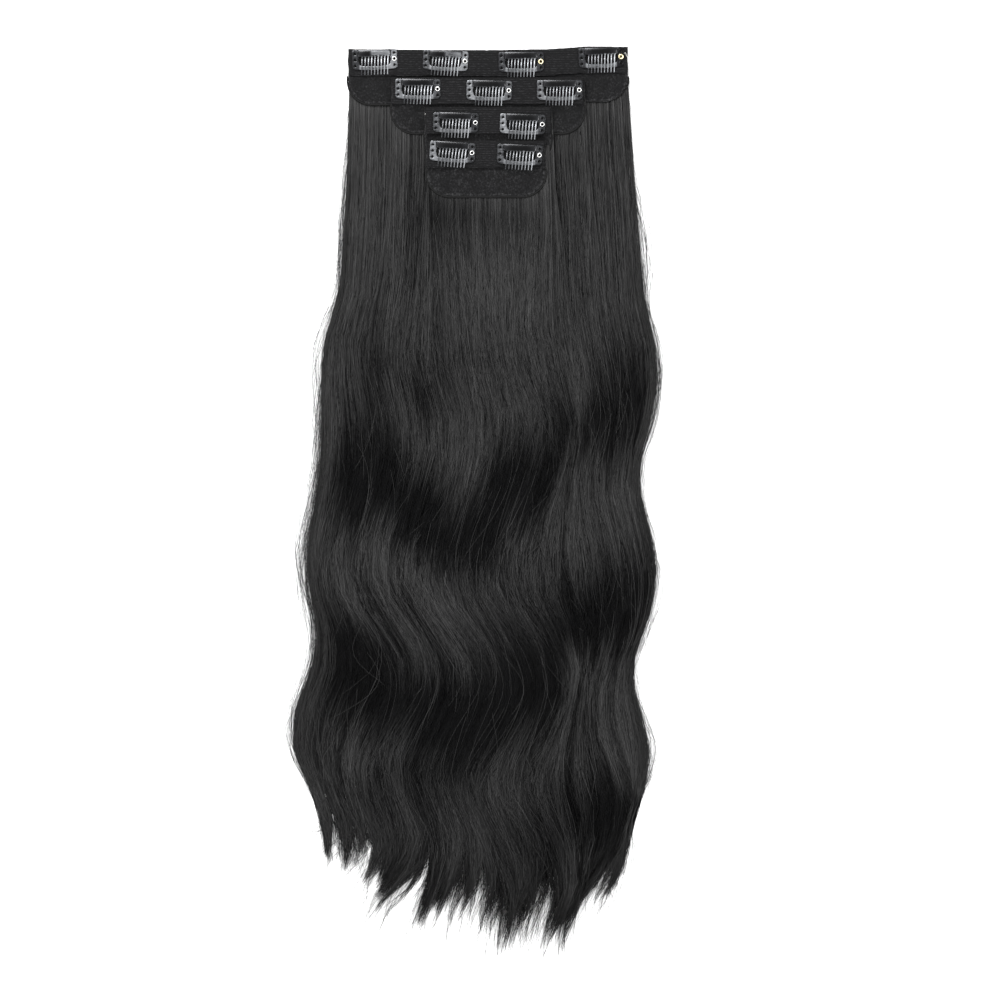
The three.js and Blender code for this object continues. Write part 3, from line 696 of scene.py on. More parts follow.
def tubes(name, lines, tone, radius):
    """Strands as closed three-sided tubes that taper to their tips."""
    count, steps, _ = lines.shape
    tangent = np.gradient(lines, axis=1)
    tangent /= np.linalg.norm(tangent, axis=2, keepdims=True)
    up = np.array([0.0, 0.0, 1.0])
    side = np.cross(tangent, up)
    side /= np.linalg.norm(side, axis=2, keepdims=True)
    out = np.cross(side, tangent)
    s = np.linspace(0, 1, steps)
    taper = np.clip(np.minimum(1.0, (1 - s) * 16 + 0.15), 0, 1)
    r = radius[:, None, None] * taper[None, :, None]
    rings = []
    for angle in (90, 210, 330):
        a = math.radians(angle)
        rings.append(lines + r * (math.cos(a) * side + math.sin(a) * out))
    points = np.stack(rings, axis=2).reshape(-1, 3)
    first = (np.arange(count) * steps * 3)[:, None, None]
    row = (np.arange(steps - 1) * 3)[None, :, None]
    corner = np.arange(3)[None, None, :]
    a = first + row + corner
    b = first + row + (corner + 1) % 3
    quads = np.stack([a, b, b + 3, a + 3], axis=3).reshape(-1, 4)
    start = first[:, 0, 0]
    end = start + (steps - 1) * 3
    roots = np.stack([start, start + 1, start + 2], axis=1)
    ends = np.stack([end + 2, end + 1, end], axis=1)
    faces = [quads[:, ::-1], roots, ends]
    tones = np.repeat(np.broadcast_to(tone, (count, steps)).ravel(), 3)
    piece = link_mesh(name, mesh_from_arrays(name, points, faces, tones), "hair")
    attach(piece, ROOT)


def core(weft):
    """The closed mass of a weft's hair under its loose strands."""
    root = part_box(f"weft_{weft}_hair")[1].y - 0.6 * MM
    shares = np.sin(np.linspace(-math.pi / 2, math.pi / 2, 57)) * 0.97
    ends = CROTCH_Y + (44 + 12 * np.sin(shares * LIMITS[weft] * 52) + 9 * np.sin(shares * 117 + weft)) * MM
    down = np.linspace(0, 1, 72)
    part = np.tile(shares * LIMITS[weft], (len(down), 1))
    y = root + (ends[None, :] - root) * down[:, None]
    x = flow_x(part, y)
    top = hair_top(weft, part, y)
    rng = np.random.default_rng(40 + weft)
    phase = rng.uniform(0, 2 * math.pi, 6)
    ridges = sum(
        np.sin(part * f + phase[i] + y * g)
        for i, (f, g) in enumerate(((31, 4), (47, -7), (73, 5), (96, 9), (128, -6), (190, 4)))
    )
    loose = smoothstep((root - y) / 0.12)
    top = top - 1.0 * MM + ridges * 0.10 * MM * loose
    under = 0.15 * MM if weft == 1 else hair_top(weft - 1, part, y) + 0.1 * MM
    low = np.minimum(under, top - 0.15 * MM)
    edge = smoothstep((1 - np.abs(shares)) / 0.06)[None, :]
    top = low + (top - low) * (0.25 + 0.75 * edge)
    grid = np.arange(part.size).reshape(part.shape)
    n = part.size
    upper = squares(grid)
    lower = upper[:, ::-1] + n
    rim = np.concatenate([grid[0, :], grid[1:, -1], grid[-1, -2::-1], grid[-2:0:-1, 0]])
    after = np.roll(rim, -1)
    walls = np.stack([rim, after, after + n, rim + n], axis=1)
    points = np.concatenate([np.stack([x, y, z], axis=2).reshape(-1, 3) for z in (top, low)])
    # painted shade: the mass is painted darker than the strands so the gaps between them read deep, with the
    # painted bands over it
    tone = np.tile(np.clip(0.2 + 0.35 * painted_hair_light_at(x, y), 0.02, 1).ravel(), 2)
    mesh = mesh_from_arrays(f"weft_{weft}_mass", points, [upper, lower, walls], tone)
    piece = link_mesh(f"weft_{weft}_mass", mesh, "core")
    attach(piece, ROOT)
    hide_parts(f"weft_{weft}_hair")


# How many strands each weft shows at full length, and how many that show only at its ends
STRANDS = {1: 1380, 2: 900, 3: 480, 4: 1560}
ENDS = {1: 1050, 2: 600, 3: 460, 4: 560}
thin = 1
for weft in WEFTS:
    core(weft)
    rng = np.random.default_rng(10 + weft)
    lines, tone = strand_lines(weft, STRANDS[weft] // thin, rng)
    tubes(f"weft_{weft}_strands", lines, tone, rng.uniform(0.15, 0.31, len(lines)) * MM)
    lines, tone = strand_lines(weft, ENDS[weft] // thin, rng, fringe=True)
    tubes(f"weft_{weft}_ends", lines, tone, rng.uniform(0.12, 0.27, len(lines)) * MM)
rng = np.random.default_rng(77)
lines, tone = flyaway_lines(640 // thin, rng)
tubes("flyaways", lines, tone, rng.uniform(0.06, 0.13, len(lines)) * MM)
lines, tone = wisp_lines(560 // thin, rng)
tubes("tip_wisps", lines, tone, rng.uniform(0.06, 0.14, len(lines)) * MM)
lines, tone = stray_lines(240 // thin, rng)
tubes("stray_hairs", lines, tone, rng.uniform(0.07, 0.12, len(lines)) * MM)

# Cloth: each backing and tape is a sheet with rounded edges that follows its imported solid

CORNER = 17 * MM
FELT_DEPTH = 39.5 * MM
TAPE_DEPTH = 18.6 * MM
CLOTH_STEP = 1.6 * MM


def edge_stations(length, step, seam):
    """Distances across a sheet: close together at its edges, where it rounds off, and at a seam."""
    near = [0.0, 0.12, 0.35, 0.7, 1.2]
    if seam is not None:
        near += [seam + offset for offset in (-0.7, -0.35, 0, 0.35, 0.7)]
    near = sorted(v * MM for v in near)
    inner = np.arange(near[-1] + step, length - near[-1] - step / 2, step)
    return np.concatenate([near, inner, length - np.array(near)[::-1]])


def painted_clip_shadow(places, x, y):
    """Painted shadow on cloth: how dark it is painted at a point, nearly black where a clip stands over it.
    """
    shade = 0.0
    for place in places:
        u, v, _ = place @ Vector((x, y, 0))
        over_x = max(abs(u) - 14.6, 0.0) / 1.1
        over_y = max(abs(v + 0.4) - 5.4, 0.0) / 1.1
        shade = max(shade, math.exp(-over_x * over_x - over_y * over_y))
    return shade


def sheet_mesh(name, node, depth, corner, look, seam=None, fold=0.0, ripple=0.12 * MM, clips=()):
    """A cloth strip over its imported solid; its plan has rounded lower corners and a soft uneven edge."""
    tree = ray_tree(frame["nodes"][node].data)
    low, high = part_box(node)
    centre = (low.x + high.x) / 2
    width = high.x - low.x
    places = [clip_place(clip).inverted() for clip in clips]
    rng = np.random.default_rng(len(name) * 7 + int(name[5]))
    phase = rng.uniform(0, 2 * math.pi, 8)
    across = edge_stations(width, CLOTH_STEP * 1.5, seam)
    down = edge_stations(depth, CLOTH_STEP, seam)
    top_y = []
    for a in across:
        x = min(max(low.x + a, low.x + 0.5 * MM), high.x - 0.5 * MM)
        ys = [high.y - d for d in np.arange(0, 8, 0.25) * MM]
        top_y.append(next((y for y in ys if level(tree, x, y) is not None), high.y) + 0.1 * MM)
    shape = (len(down), len(across))
    xs, ys, upper, lower = (np.zeros(shape) for _ in range(4))
    tone = np.ones(shape)
    for i, d in enumerate(down):
        into = max(d - (depth - corner), 0.0)
        half = width / 2 - corner + math.sqrt(max(corner * corner - into * into, 0.0))
        for j, a in enumerate(across):
            u = a / width * 2 - 1
            x = centre + u * half
            y = top_y[j] - d
            edge_x = min(a, width - a) * half / (width / 2)
            edge = min(edge_x, d, depth - d)
            if into > 0:
                # distance to the corner's arc
                cx = max(abs(x - centre) - (width / 2 - corner), 0.0)
                edge = min(edge, corner - math.hypot(cx, into)) if cx > 0 else edge
            edge = max(edge, 0.0)
            wobble = 0.22 * MM * math.sin(d * 260 + phase[0]) + 0.16 * MM * math.sin(d * 610 + phase[1])
            sway = 0.18 * MM * math.sin(x * 190 + phase[2]) + 0.14 * MM * math.sin(x * 520 + phase[3])
            xs[i, j] = x - math.copysign(0.35 * MM, u) + wobble * abs(u) ** 8
            ys[i, j] = y + sway * (d / depth) ** 4 + 0.25 * MM * (d / depth) ** 4
            px = min(max(xs[i, j], low.x + 0.4 * MM), high.x - 0.4 * MM)
            py = min(max(ys[i, j], top_y[j] - depth + 0.5 * MM), top_y[j] - 0.4 * MM)
            top, bottom = level(tree, px, py), level(tree, px, py, down=False)
            if top is None or bottom is None:
                inner = centre + (px - centre) * 0.94
                py = min(py + 1.5 * MM, top_y[j] - 0.4 * MM)
                top, bottom = level(tree, inner, py), level(tree, inner, py, down=False)
            thick = min(top - bottom, 1.6 * MM if corner else 1.1 * MM)
            mid = bottom + thick / 2
            share = min(edge / (thick * 0.6), 1.0)
            bulge = math.sqrt(max(1 - (1 - share) ** 2, 0.0))
            wave = ripple * (math.sin(x * 140 + phase[4]) * math.sin(d * 210 + phase[5]) - 1) * 0.5
            groove = 0.0
            if seam is not None and d > 4 * MM:
                gap = abs(edge - seam * MM) / (0.45 * MM)
                groove = -0.28 * MM * math.exp(-gap * gap)
                # painted highlight: the strip between the seam and the edge, the rolled hem, is painted
                # lighter
                if edge < seam * MM:
                    tone[i, j] = 1.45
            # painted shadow: the cloth is painted nearly black where a clip stands over it
            tone[i, j] *= 1 - 0.9 * painted_clip_shadow(places, xs[i, j], ys[i, j])
            roll = fold * math.exp(-((d - 0.9 * MM) / (0.6 * MM)) ** 2)
            upper[i, j] = mid + (thick / 2 + wave + groove + roll) * bulge
            lower[i, j] = mid - thick / 2 * bulge
    grid = np.arange(xs.size).reshape(shape)
    inside = np.zeros(shape, dtype=bool)
    inside[1:-1, 1:-1] = True
    under = grid.copy()
    under[inside] = xs.size + np.arange(inside.sum())
    above = np.stack([xs, ys, upper], axis=2).reshape(-1, 3)
    below = np.stack([xs, ys, lower], axis=2)[inside]
    tones = np.concatenate([tone.ravel(), tone[inside]])
    faces = [squares(grid), squares(under)[:, ::-1]]
    return link_mesh(name, mesh_from_arrays(name, np.concatenate([above, below]), faces, tones), look), width


def tube_mesh(name, paths, radius, look, sides=6, tone=1.0):
    """Closed round tubes along short paths, such as stitches and loose fibres, as one mesh."""
    points, quads, caps = [], [], []
    for path in paths:
        path = np.array(path)
        tangent = np.gradient(path, axis=0)
        tangent /= np.linalg.norm(tangent, axis=1, keepdims=True)
        ref = np.array([0.0, 0.0, 1.0]) if abs(tangent[0, 2]) < 0.9 else np.array([1.0, 0.0, 0.0])
        first = len(points)
        for i, point in enumerate(path):
            side = np.cross(tangent[i], ref)
            side /= np.linalg.norm(side)
            ref = np.cross(side, tangent[i])
            r = radius * (0.45 if i in (0, len(path) - 1) else 1.0)
            for k in range(sides):
                angle = 2 * math.pi * k / sides
                points.append(point + r * (math.cos(angle) * side + math.sin(angle) * ref))
        for i in range(len(path) - 1):
            for k in range(sides):
                a, b = first + i * sides + k, first + i * sides + (k + 1) % sides
                quads.append([a, a + sides, b + sides, b])
        last = first + (len(path) - 1) * sides
        for k in range(1, sides - 1):
            caps.append([first, first + k, first + k + 1])
            caps.append([last, last + k + 1, last + k])
    mesh = mesh_from_arrays(
        name, np.array(points), [np.array(quads), np.array(caps)], np.full(len(points), tone)
    )
    return link_mesh(name, mesh, look)


def sew_cloth(weft):
    """A weft's felt and its tape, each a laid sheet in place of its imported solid."""
    backing, tape = f"weft_{weft}_backing", f"weft_{weft}_tape"
    felt, width = sheet_mesh(f"weft_{weft}_felt", backing, FELT_DEPTH, CORNER, "felt", seam=1.9)
    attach(felt, ROOT)
    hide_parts(backing)
    clips = [clip for clip in CLIPS if clip[0] == str(weft)]
    edges = {"fold": 0.35 * MM, "ripple": 0.06 * MM, "clips": clips}
    band, width = sheet_mesh(f"weft_{weft}_band", tape, TAPE_DEPTH, 0.0, "tape", **edges)
    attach(band, ROOT)
    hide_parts(tape)
    return felt


def felt_bottom(weft):
    low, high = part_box(f"weft_{weft}_backing")
    return low.y if weft == 1 else high.y - FELT_DEPTH


def felt_line(weft, inset):
    """Points round a backing's sides and lower edge, at a distance inside its outline."""
    low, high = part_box(f"weft_{weft}_backing")
    centre, half = (low.x + high.x) / 2, (high.x - low.x) / 2
    bottom = felt_bottom(weft)
    r = CORNER - inset
    turn = np.linspace(0, math.pi / 2, 30)
    sides = np.arange(bottom + 20.5 * MM, bottom + CORNER, -0.5 * MM)
    across = np.arange(-half + CORNER, half - CORNER, 0.5 * MM)
    left = [(-half + inset, y) for y in sides]
    left += [(-half + CORNER - r * math.cos(a), bottom + CORNER - r * math.sin(a)) for a in turn]
    line = left + [(x, bottom + inset) for x in across] + [(-x, y) for x, y in left[::-1]]
    return np.array(line) + (centre, 0)


def over_cloth(tree, places, base, rise):
    """One short path over cloth, lifted in its middle, in a list that is empty where it leaves the cloth."""
    heights = [level(tree, x, y) for x, y in places]
    if None in heights:
        return []
    lift = [base + rise * math.sin(math.pi * t) for t in np.linspace(0, 1, len(places))]
    return [[(x, y, z + up * MM) for (x, y), z, up in zip(places, heights, lift)]]


def seam_stitches(weft, felt):
    """Small stitches along the felt's seam, a pure black hem cord along its edge that is partly a real hem
    and partly a painted shadow line under the felt's edge, and loose fibres over its face.
    """
    tree = ray_tree(felt.data)
    low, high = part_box(f"weft_{weft}_backing")
    line = felt_line(weft, 1.9 * MM)
    along = np.concatenate([[0], np.cumsum(np.linalg.norm(np.diff(line, axis=0), axis=1))])
    stitches = []
    for start in np.arange(0.5 * MM, along[-1] - 3 * MM, 3.2 * MM):
        at = start + np.linspace(0, 1, 6) * 2.3 * MM
        places = list(zip(np.interp(at, along, line[:, 0]), np.interp(at, along, line[:, 1])))
        stitches += over_cloth(tree, places, -0.12, 0.22)
    hem = []
    for (x, y), inner in zip(felt_line(weft, -0.1 * MM)[::3], felt_line(weft, 1.2 * MM)[::3]):
        z = level(tree, *inner)
        if z is not None:
            hem.append((x, y, z - 0.45 * MM))
    seam = tube_mesh(f"weft_{weft}_seam", stitches, 0.11 * MM, "thread", sides=4, tone=0.12)
    # the hem cord is pure black: partly a hem, partly a painted shadow line along the felt's edge
    hem_shadow_cord = tube_mesh(f"weft_{weft}_hem", [hem], 0.7 * MM, "thread", tone=0.0)
    for piece in (seam, hem_shadow_cord):
        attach(piece, ROOT)
    rng = np.random.default_rng(300 + weft)
    bottom = felt_bottom(weft)
    fibres = []
    for _ in range(int(110 * (high.x - low.x) / 2 / 0.05)):
        x, y = rng.uniform(low.x + 1 * MM, high.x - 1 * MM), rng.uniform(bottom + 1 * MM, high.y - 19 * MM)
        heading, curl, length = rng.uniform(0, 2 * math.pi), rng.normal(0, 1.6), rng.uniform(0.7, 2.2) * MM
        places = [(x, y)]
        for t in np.linspace(0, 1, 5)[:-1]:
            x += math.cos(heading + curl * t) * length / 4
            y += math.sin(heading + curl * t) * length / 4
            places.append((x, y))
        fibres += over_cloth(tree, places, 0.02, 0.25)
    fuzz = tube_mesh(f"weft_{weft}_fuzz", fibres, 0.04 * MM, "thread", sides=3, tone=0.45)
    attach(fuzz, ROOT)


# Clips, in each clip's own frame in millimetres: +Y towards the weft's top edge, the sheet's underside at 0

CLIP_HALF = 16.0
EAR_INNER = 11.9
EAR_MID = 13.95
CLIP_TOP = 6.9
BAR_TOP = -4.3
BAR_FOOT = 2.3
TOOTH_END = -11.1
HOLE_PITCH = 4.3
TOOTH_PITCH = 2.3
SHEET = 0.4


def quadratic(a, b, c, count):
    return [
        (
            (1 - t) ** 2 * a[0] + 2 * (1 - t) * t * b[0] + t * t * c[0],
            (1 - t) ** 2 * a[1] + 2 * (1 - t) * t * b[1] + t * t * c[1],
        )
        for t in np.linspace(0, 1, count, endpoint=False)
    ]


def ring(x, y, radius, count):
    return [
        (x + radius * math.cos(2 * math.pi * i / count), y + radius * math.sin(2 * math.pi * i / count))
        for i in range(count)
    ]


def frame_outline():
    """The ears and the lower bar: one plate round a window with rounded lower corners."""
    inner, out, turn, low_turn = EAR_INNER, CLIP_HALF, 1.6, 3.2
    window = [(inner - 0.3 - 0.14 * (y + 0.2) ** 2, y) for y in np.linspace(1.6, -2.0, 10)]
    right = [(inner, CLIP_TOP), (inner, 4.0), (inner, 2.4)] + window
    left = [(-x, y) for x, y in right[::-1]]
    foot = (inner - 3.2, BAR_TOP - 0.35)
    loop = quadratic((-out, -CLIP_TOP + low_turn), (-out, -CLIP_TOP), (-out + low_turn, -CLIP_TOP), 8)
    loop += quadratic((-out + low_turn, -CLIP_TOP), (0, -CLIP_TOP - 1.1), (out - low_turn, -CLIP_TOP), 26)
    loop += quadratic((out - low_turn, -CLIP_TOP), (out, -CLIP_TOP), (out, -CLIP_TOP + low_turn), 8)
    side = [(out + 0.12 * math.cos(2 * math.pi * y / HOLE_PITCH), y) for y in np.linspace(-3.6, 5.2, 14)]
    loop += side
    loop += quadratic((out, CLIP_TOP - turn), (out, CLIP_TOP), (out - turn, CLIP_TOP), 6)
    loop += [(out - turn, CLIP_TOP), (inner + 1.2, CLIP_TOP)]
    loop += right
    loop += quadratic((inner - 0.8, BAR_TOP + 2.1), (inner - 0.9, BAR_TOP - 0.1), foot, 8)
    loop += quadratic(foot, (0, BAR_TOP - 1.05), (-foot[0], foot[1]), 24)
    loop += quadratic((-foot[0], foot[1]), (-inner + 0.9, BAR_TOP - 0.1), (-inner + 0.8, BAR_TOP + 2.1), 8)
    loop += left
    loop += [(-inner - 1.2, CLIP_TOP), (-out + turn, CLIP_TOP)]
    loop += quadratic((-out + turn, CLIP_TOP), (-out, CLIP_TOP), (-out, CLIP_TOP - turn), 6)
    loop += [(-x, y) for x, y in side[::-1]]
    return loop


def comb_outline():
    """The top bar with nine leaning teeth."""
    half = EAR_INNER - 0.3
    loop = []
    for tooth in range(9):
        root = (tooth - 4) * TOOTH_PITCH + 0.5
        sides = []
        for y in np.linspace(BAR_FOOT - 0.5, TOOTH_END + 0.4, 12):
            t = (BAR_FOOT - y) / (BAR_FOOT - TOOTH_END)
            sides.append((root - 0.95 * t, y, (0.76 - 0.18 * t**2) / 2))
        loop += [(root - 1.0, BAR_FOOT), (root - 0.7, BAR_FOOT - 0.12)]
        loop += [(x - w, y) for x, y, w in sides]
        x, y, w = sides[-1]
        loop += [(x - w * math.cos(a), y - w * math.sin(a)) for a in np.linspace(0.5, math.pi - 0.5, 4)]
        loop += [(x + w, y) for x, y, w in sides[::-1]]
        loop += [(root + 0.7, BAR_FOOT - 0.12), (root + 1.0, BAR_FOOT)]
    loop = [(-half + 0.3, BAR_FOOT), (-10.6, BAR_FOOT)] + loop + [(10.95, BAR_FOOT), (half - 0.3, BAR_FOOT)]
    loop += quadratic((half, BAR_FOOT + 0.3), (half, 4.6), (half, CLIP_TOP - 0.5), 6)
    loop += [(half - 0.15, CLIP_TOP - 0.12)]
    loop += [(x, CLIP_TOP) for x in np.linspace(half - 0.5, -half + 0.5, 22)]
    loop += [(-half + 0.15, CLIP_TOP - 0.12)]
    loop += quadratic((-half, CLIP_TOP - 0.5), (-half, 4.6), (-half, BAR_FOOT + 0.3), 6)
    return loop


def inside_loop(loop, x, y):
    px, py = loop[:, 0], loop[:, 1]
    qx, qy = np.roll(px, -1), np.roll(py, -1)
    cross = (py > y) != (qy > y)
    at = px + (y - py) / np.where(qy == py, 1e-9, qy - py) * (qx - px)
    return bool(np.sum(cross & (x < at)) % 2)


def pressed_plate(name, outline, holes, spacing, shape):
    """A sheet-metal blank with filled face and rounded edges, bent by shape(x, y).

    Its tone attribute holds each point's distance from the nearest cut edge, for the lacquer's painted
    light.
    """
    loops = [np.array(outline)] + [np.array(h) for h in holes]
    points, edges = [], []
    for loop in loops:
        first = len(points)
        points += [Vector(p) for p in loop.tolist()]
        edges += [(first + i, first + (i + 1) % len(loop)) for i in range(len(loop))]
    borders = np.concatenate(loops)
    for x in np.arange(-16, 16, spacing):
        for y in np.arange(-12, 8, spacing):
            if np.min(np.hypot(borders[:, 0] - x, borders[:, 1] - y)) < 0.45:
                continue
            if inside_loop(loops[0], x, y) and not any(inside_loop(h, x, y) for h in loops[1:]):
                points.append(Vector((x, y)))
    verts, _, faces, *_ = delaunay_2d_cdt(points, edges, [], 0, 1e-5)
    bm = bmesh.new()
    made = [bm.verts.new((v.x, v.y, 0)) for v in verts]
    for face in faces:
        cx = sum(verts[i].x for i in face) / 3
        cy = sum(verts[i].y for i in face) / 3
        if inside_loop(loops[0], cx, cy) and not any(inside_loop(h, cx, cy) for h in loops[1:]):
            bm.faces.new([made[i] for i in face])
    for vert in [v for v in bm.verts if not v.link_faces]:
        bm.verts.remove(vert)
    bmesh.ops.recalc_face_normals(bm, faces=bm.faces)
    lifted = bmesh.ops.extrude_face_region(bm, geom=bm.faces[:])
    moved = [g for g in lifted["geom"] if isinstance(g, bmesh.types.BMVert)]
    bmesh.ops.translate(bm, verts=moved, vec=(0, 0, SHEET))
    bmesh.ops.recalc_face_normals(bm, faces=bm.faces)
    sharp = [e for e in bm.edges if len(e.link_faces) == 2 and e.calc_face_angle() > 1.0]
    rims = [e for e in sharp if abs(e.verts[0].co.z - e.verts[1].co.z) < 0.1]
    bmesh.ops.bevel(bm, geom=rims, offset=0.1, segments=2, profile=0.5, affect="EDGES", clamp_overlap=True)
    wear_and_painted_light = bm.verts.layers.float.new("tone")
    for vert in bm.verts:
        vert[wear_and_painted_light] = np.min(np.hypot(borders[:, 0] - vert.co.x, borders[:, 1] - vert.co.y))
        vert.co.z += shape(vert.co.x, vert.co.y)
    bmesh.ops.triangulate(bm, faces=bm.faces)
    mesh = bpy.data.meshes.new(name)
    bm.to_mesh(mesh)
    bm.free()
    mesh.polygons.foreach_set("use_smooth", np.ones(len(mesh.polygons), dtype=bool))
    mesh.set_sharp_from_angle(angle=math.radians(38))
    return mesh


def arch(x):
    return 0.7 * (1 - (x / CLIP_HALF) ** 2)


def bend_frame(x, y):
    dish = 0.0
    if abs(x) > EAR_INNER:
        dish = -0.10 * math.cos((abs(x) - EAR_MID) / 2.05 * math.pi / 2)
    return arch(x) + dish


# How high the teeth stand over the sheet's underside, from their roots to their ends
TOOTH_RISE = ((BAR_FOOT, 0.0), (BAR_TOP + 0.3, 0.7), (-7.8, 0.7), (TOOTH_END, 0.42))


def bend_comb(x, y):
    if y > BAR_FOOT:
        t = (y - 4.6) / 2.3
        return arch(x) + max(0.32 * (1 - t * t) * min(1.0, (11.6 - abs(x)) / 1.6), 0)
    ends = list(zip(TOOTH_RISE, TOOTH_RISE[1:]))
    (y0, z0), (y1, z1) = next((pair for pair in ends if y >= pair[1][0]), ends[-1])
    return arch(x) + z0 + (z1 - z0) * smoothstep((y0 - y) / (y0 - y1))


# Painted light on each clip: how bright its left and right ear shines as a painted highlight, and where the
# painted reflection on its top bar starts, if it has one
PAINTED_EAR_SHINE = {
    "1a": (0.33, 0.72), "1b": (0.45, 0.72), "1c": (0.40, 0.36), "1d": (0.36, 0.12),
    "2a": (0.56, 0.46), "2b": (0.64, 0.54), "2c": (0.56, 0.43),
    "3a": (0.47, 0.38), "3b": (0.70, 0.41), "4a": (0.66, 0.44), "4b": (0.46, 0.41),
}
PAINTED_BAR_GLEAM = {"1a": (-4.0, 0.56), "1b": (-2.0, 0.46)}


def frame_painted_light(clip, x, y, edge):
    """Painted light on a clip's ears and lower bar: each ear has its own painted shine, a little darker
    along its cut edges, and the bar is painted bright grey, brighter at its ends as a painted highlight.
    """
    left, right = PAINTED_EAR_SHINE[clip]
    rim = np.exp(-edge / 0.3)
    ears = smoothstep((np.abs(x) - EAR_INNER + 1.6) / 1.0)
    bar = 0.50 + 0.32 * (np.abs(x) / EAR_INNER) ** 4
    return bar * (1 - ears) + (np.where(x < 0, left, right) - 0.12 * rim) * ears


def comb_painted_light(clip, x, y, edge):
    """Painted light on a clip's comb: its top bar black with painted highlights at its ends and along its
    upper edge, and a painted reflection on some clips; its teeth painted grey, lighter to the right and a
    little darker towards their tips.
    """
    start, painted_gleam = PAINTED_BAR_GLEAM.get(clip, (0.0, 0.0))
    lit = smoothstep((x - start) / 2.5) * smoothstep((edge - 0.25) / 0.6) * smoothstep((6.3 - y) / 0.8)
    bar = 0.03 + painted_gleam * lit
    bar = bar + 0.14 * smoothstep((np.abs(x) - 5) / 6) + 0.22 * np.exp(-(CLIP_TOP - y) / 0.3)
    teeth = 0.46 + 0.46 * (x + 9) / 18 - 0.06 * smoothstep((-7 - y) / 1.5)
    return np.where(y > BAR_FOOT, bar, teeth)


def eyelet_mesh(rim, bore):
    """A hollow rivet turned about its own axis, with a rolled rim."""
    profile = [(bore, 0.0), (1.05, 0.0), (1.05, 0.68), (rim - 0.3, 0.68)]
    roll = np.linspace(-0.6, math.pi * 0.62, 7)
    profile += [(rim - 0.36 + 0.36 * math.cos(a), 0.86 + 0.3 * math.sin(a)) for a in roll]
    profile += [(bore + 0.2, 1.06), (bore + 0.06, 0.96), (bore, 0.8)]
    count, sides = len(profile), 28
    points = []
    for k in range(sides):
        angle = 2 * math.pi * k / sides
        points += [
            (EAR_MID + r * math.cos(angle), r * math.sin(angle), z + arch(EAR_MID)) for r, z in profile
        ]
    quads = []
    for k in range(sides):
        for i in range(count):
            a, b = k * count + i, k * count + (i + 1) % count
            c, d = (k + 1) % sides * count + (i + 1) % count, (k + 1) % sides * count + i
            quads.append([a, d, c, b])
    mesh = mesh_from_arrays("eyelet", np.array(points), [np.array(quads)[:, ::-1]])
    mesh.set_sharp_from_angle(angle=math.radians(40))
    return mesh


def ear_threads():
    """Loops of thread from each stitch hole over the ear's outer edge into the tape."""
    route = ((13.75, -0.35), (13.9, 0.25), (14.3, 0.52), (15.1, 0.53), (15.85, 0.4), (16.2, 0.1))
    route += ((16.3, -0.35),)
    paths = []
    for side in (-1, 1):
        for row in (-1, 0, 1):
            if side > 0 and row == 0:
                continue
            for strand in (-0.2, 0.2):
                y = row * HOLE_PITCH + strand
                path = [(side * x, y + strand * 0.2 * (x - 13.9), z + arch(min(x, 16))) for x, z in route]
                paths.append(path)
    return tube_mesh("ear_threads", paths, 0.1, "thread", sides=5, tone=0.15)


def neck_mesh(side):
    """The short strap of sheet steel that joins the comb's bar to an ear, which on the real clip twists when
    it opens; here it stays fixed.
    """
    points, quads = [], []
    spans = np.linspace(11.3, 12.35, 8)
    for x in spans:
        for y, z in ((6.78, 0.03), (6.78, 0.36), (6.2, 0.4), (5.5, 0.38), (5.5, 0.03), (6.2, 0.0)):
            points.append((side * x, y, z + arch(x)))
    for i in range(len(spans) - 1):
        for k in range(6):
            a, b = i * 6 + k, i * 6 + (k + 1) % 6
            quads.append([a, b, b + 6, a + 6])
    last = (len(spans) - 1) * 6
    ends = [[0, 5, 4, 3], [0, 3, 2, 1]]
    ends += [[last + corner for corner in face] for face in ((0, 1, 2, 3), (0, 3, 4, 5))]
    quads = np.array(quads + ends)
    if side > 0:
        quads = quads[:, ::-1]
    return mesh_from_arrays("neck", np.array(points), [quads], np.full(len(points), 0.3))


def clip_place(clip):
    """The matrix from a clip's own millimetres to the shared frame, from its hinge."""
    joint = next(j for j in frame["joints"] if j["name"] == f"clip_{clip}_snap")
    axis = Vector(joint["axis"])
    x_axis = -axis.normalized()
    y_axis = Vector((0, 0, 1)).cross(x_axis)
    hinge = Vector(joint["pos_m"])
    origin = hinge - y_axis * CLIP_TOP * MM
    origin.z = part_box(f"clip_{clip}_frame")[0].z
    turn = Matrix((x_axis, y_axis, Vector((0, 0, 1)))).transposed().to_4x4()
    return Matrix.Translation(origin) @ turn @ Matrix.Scale(MM, 4)


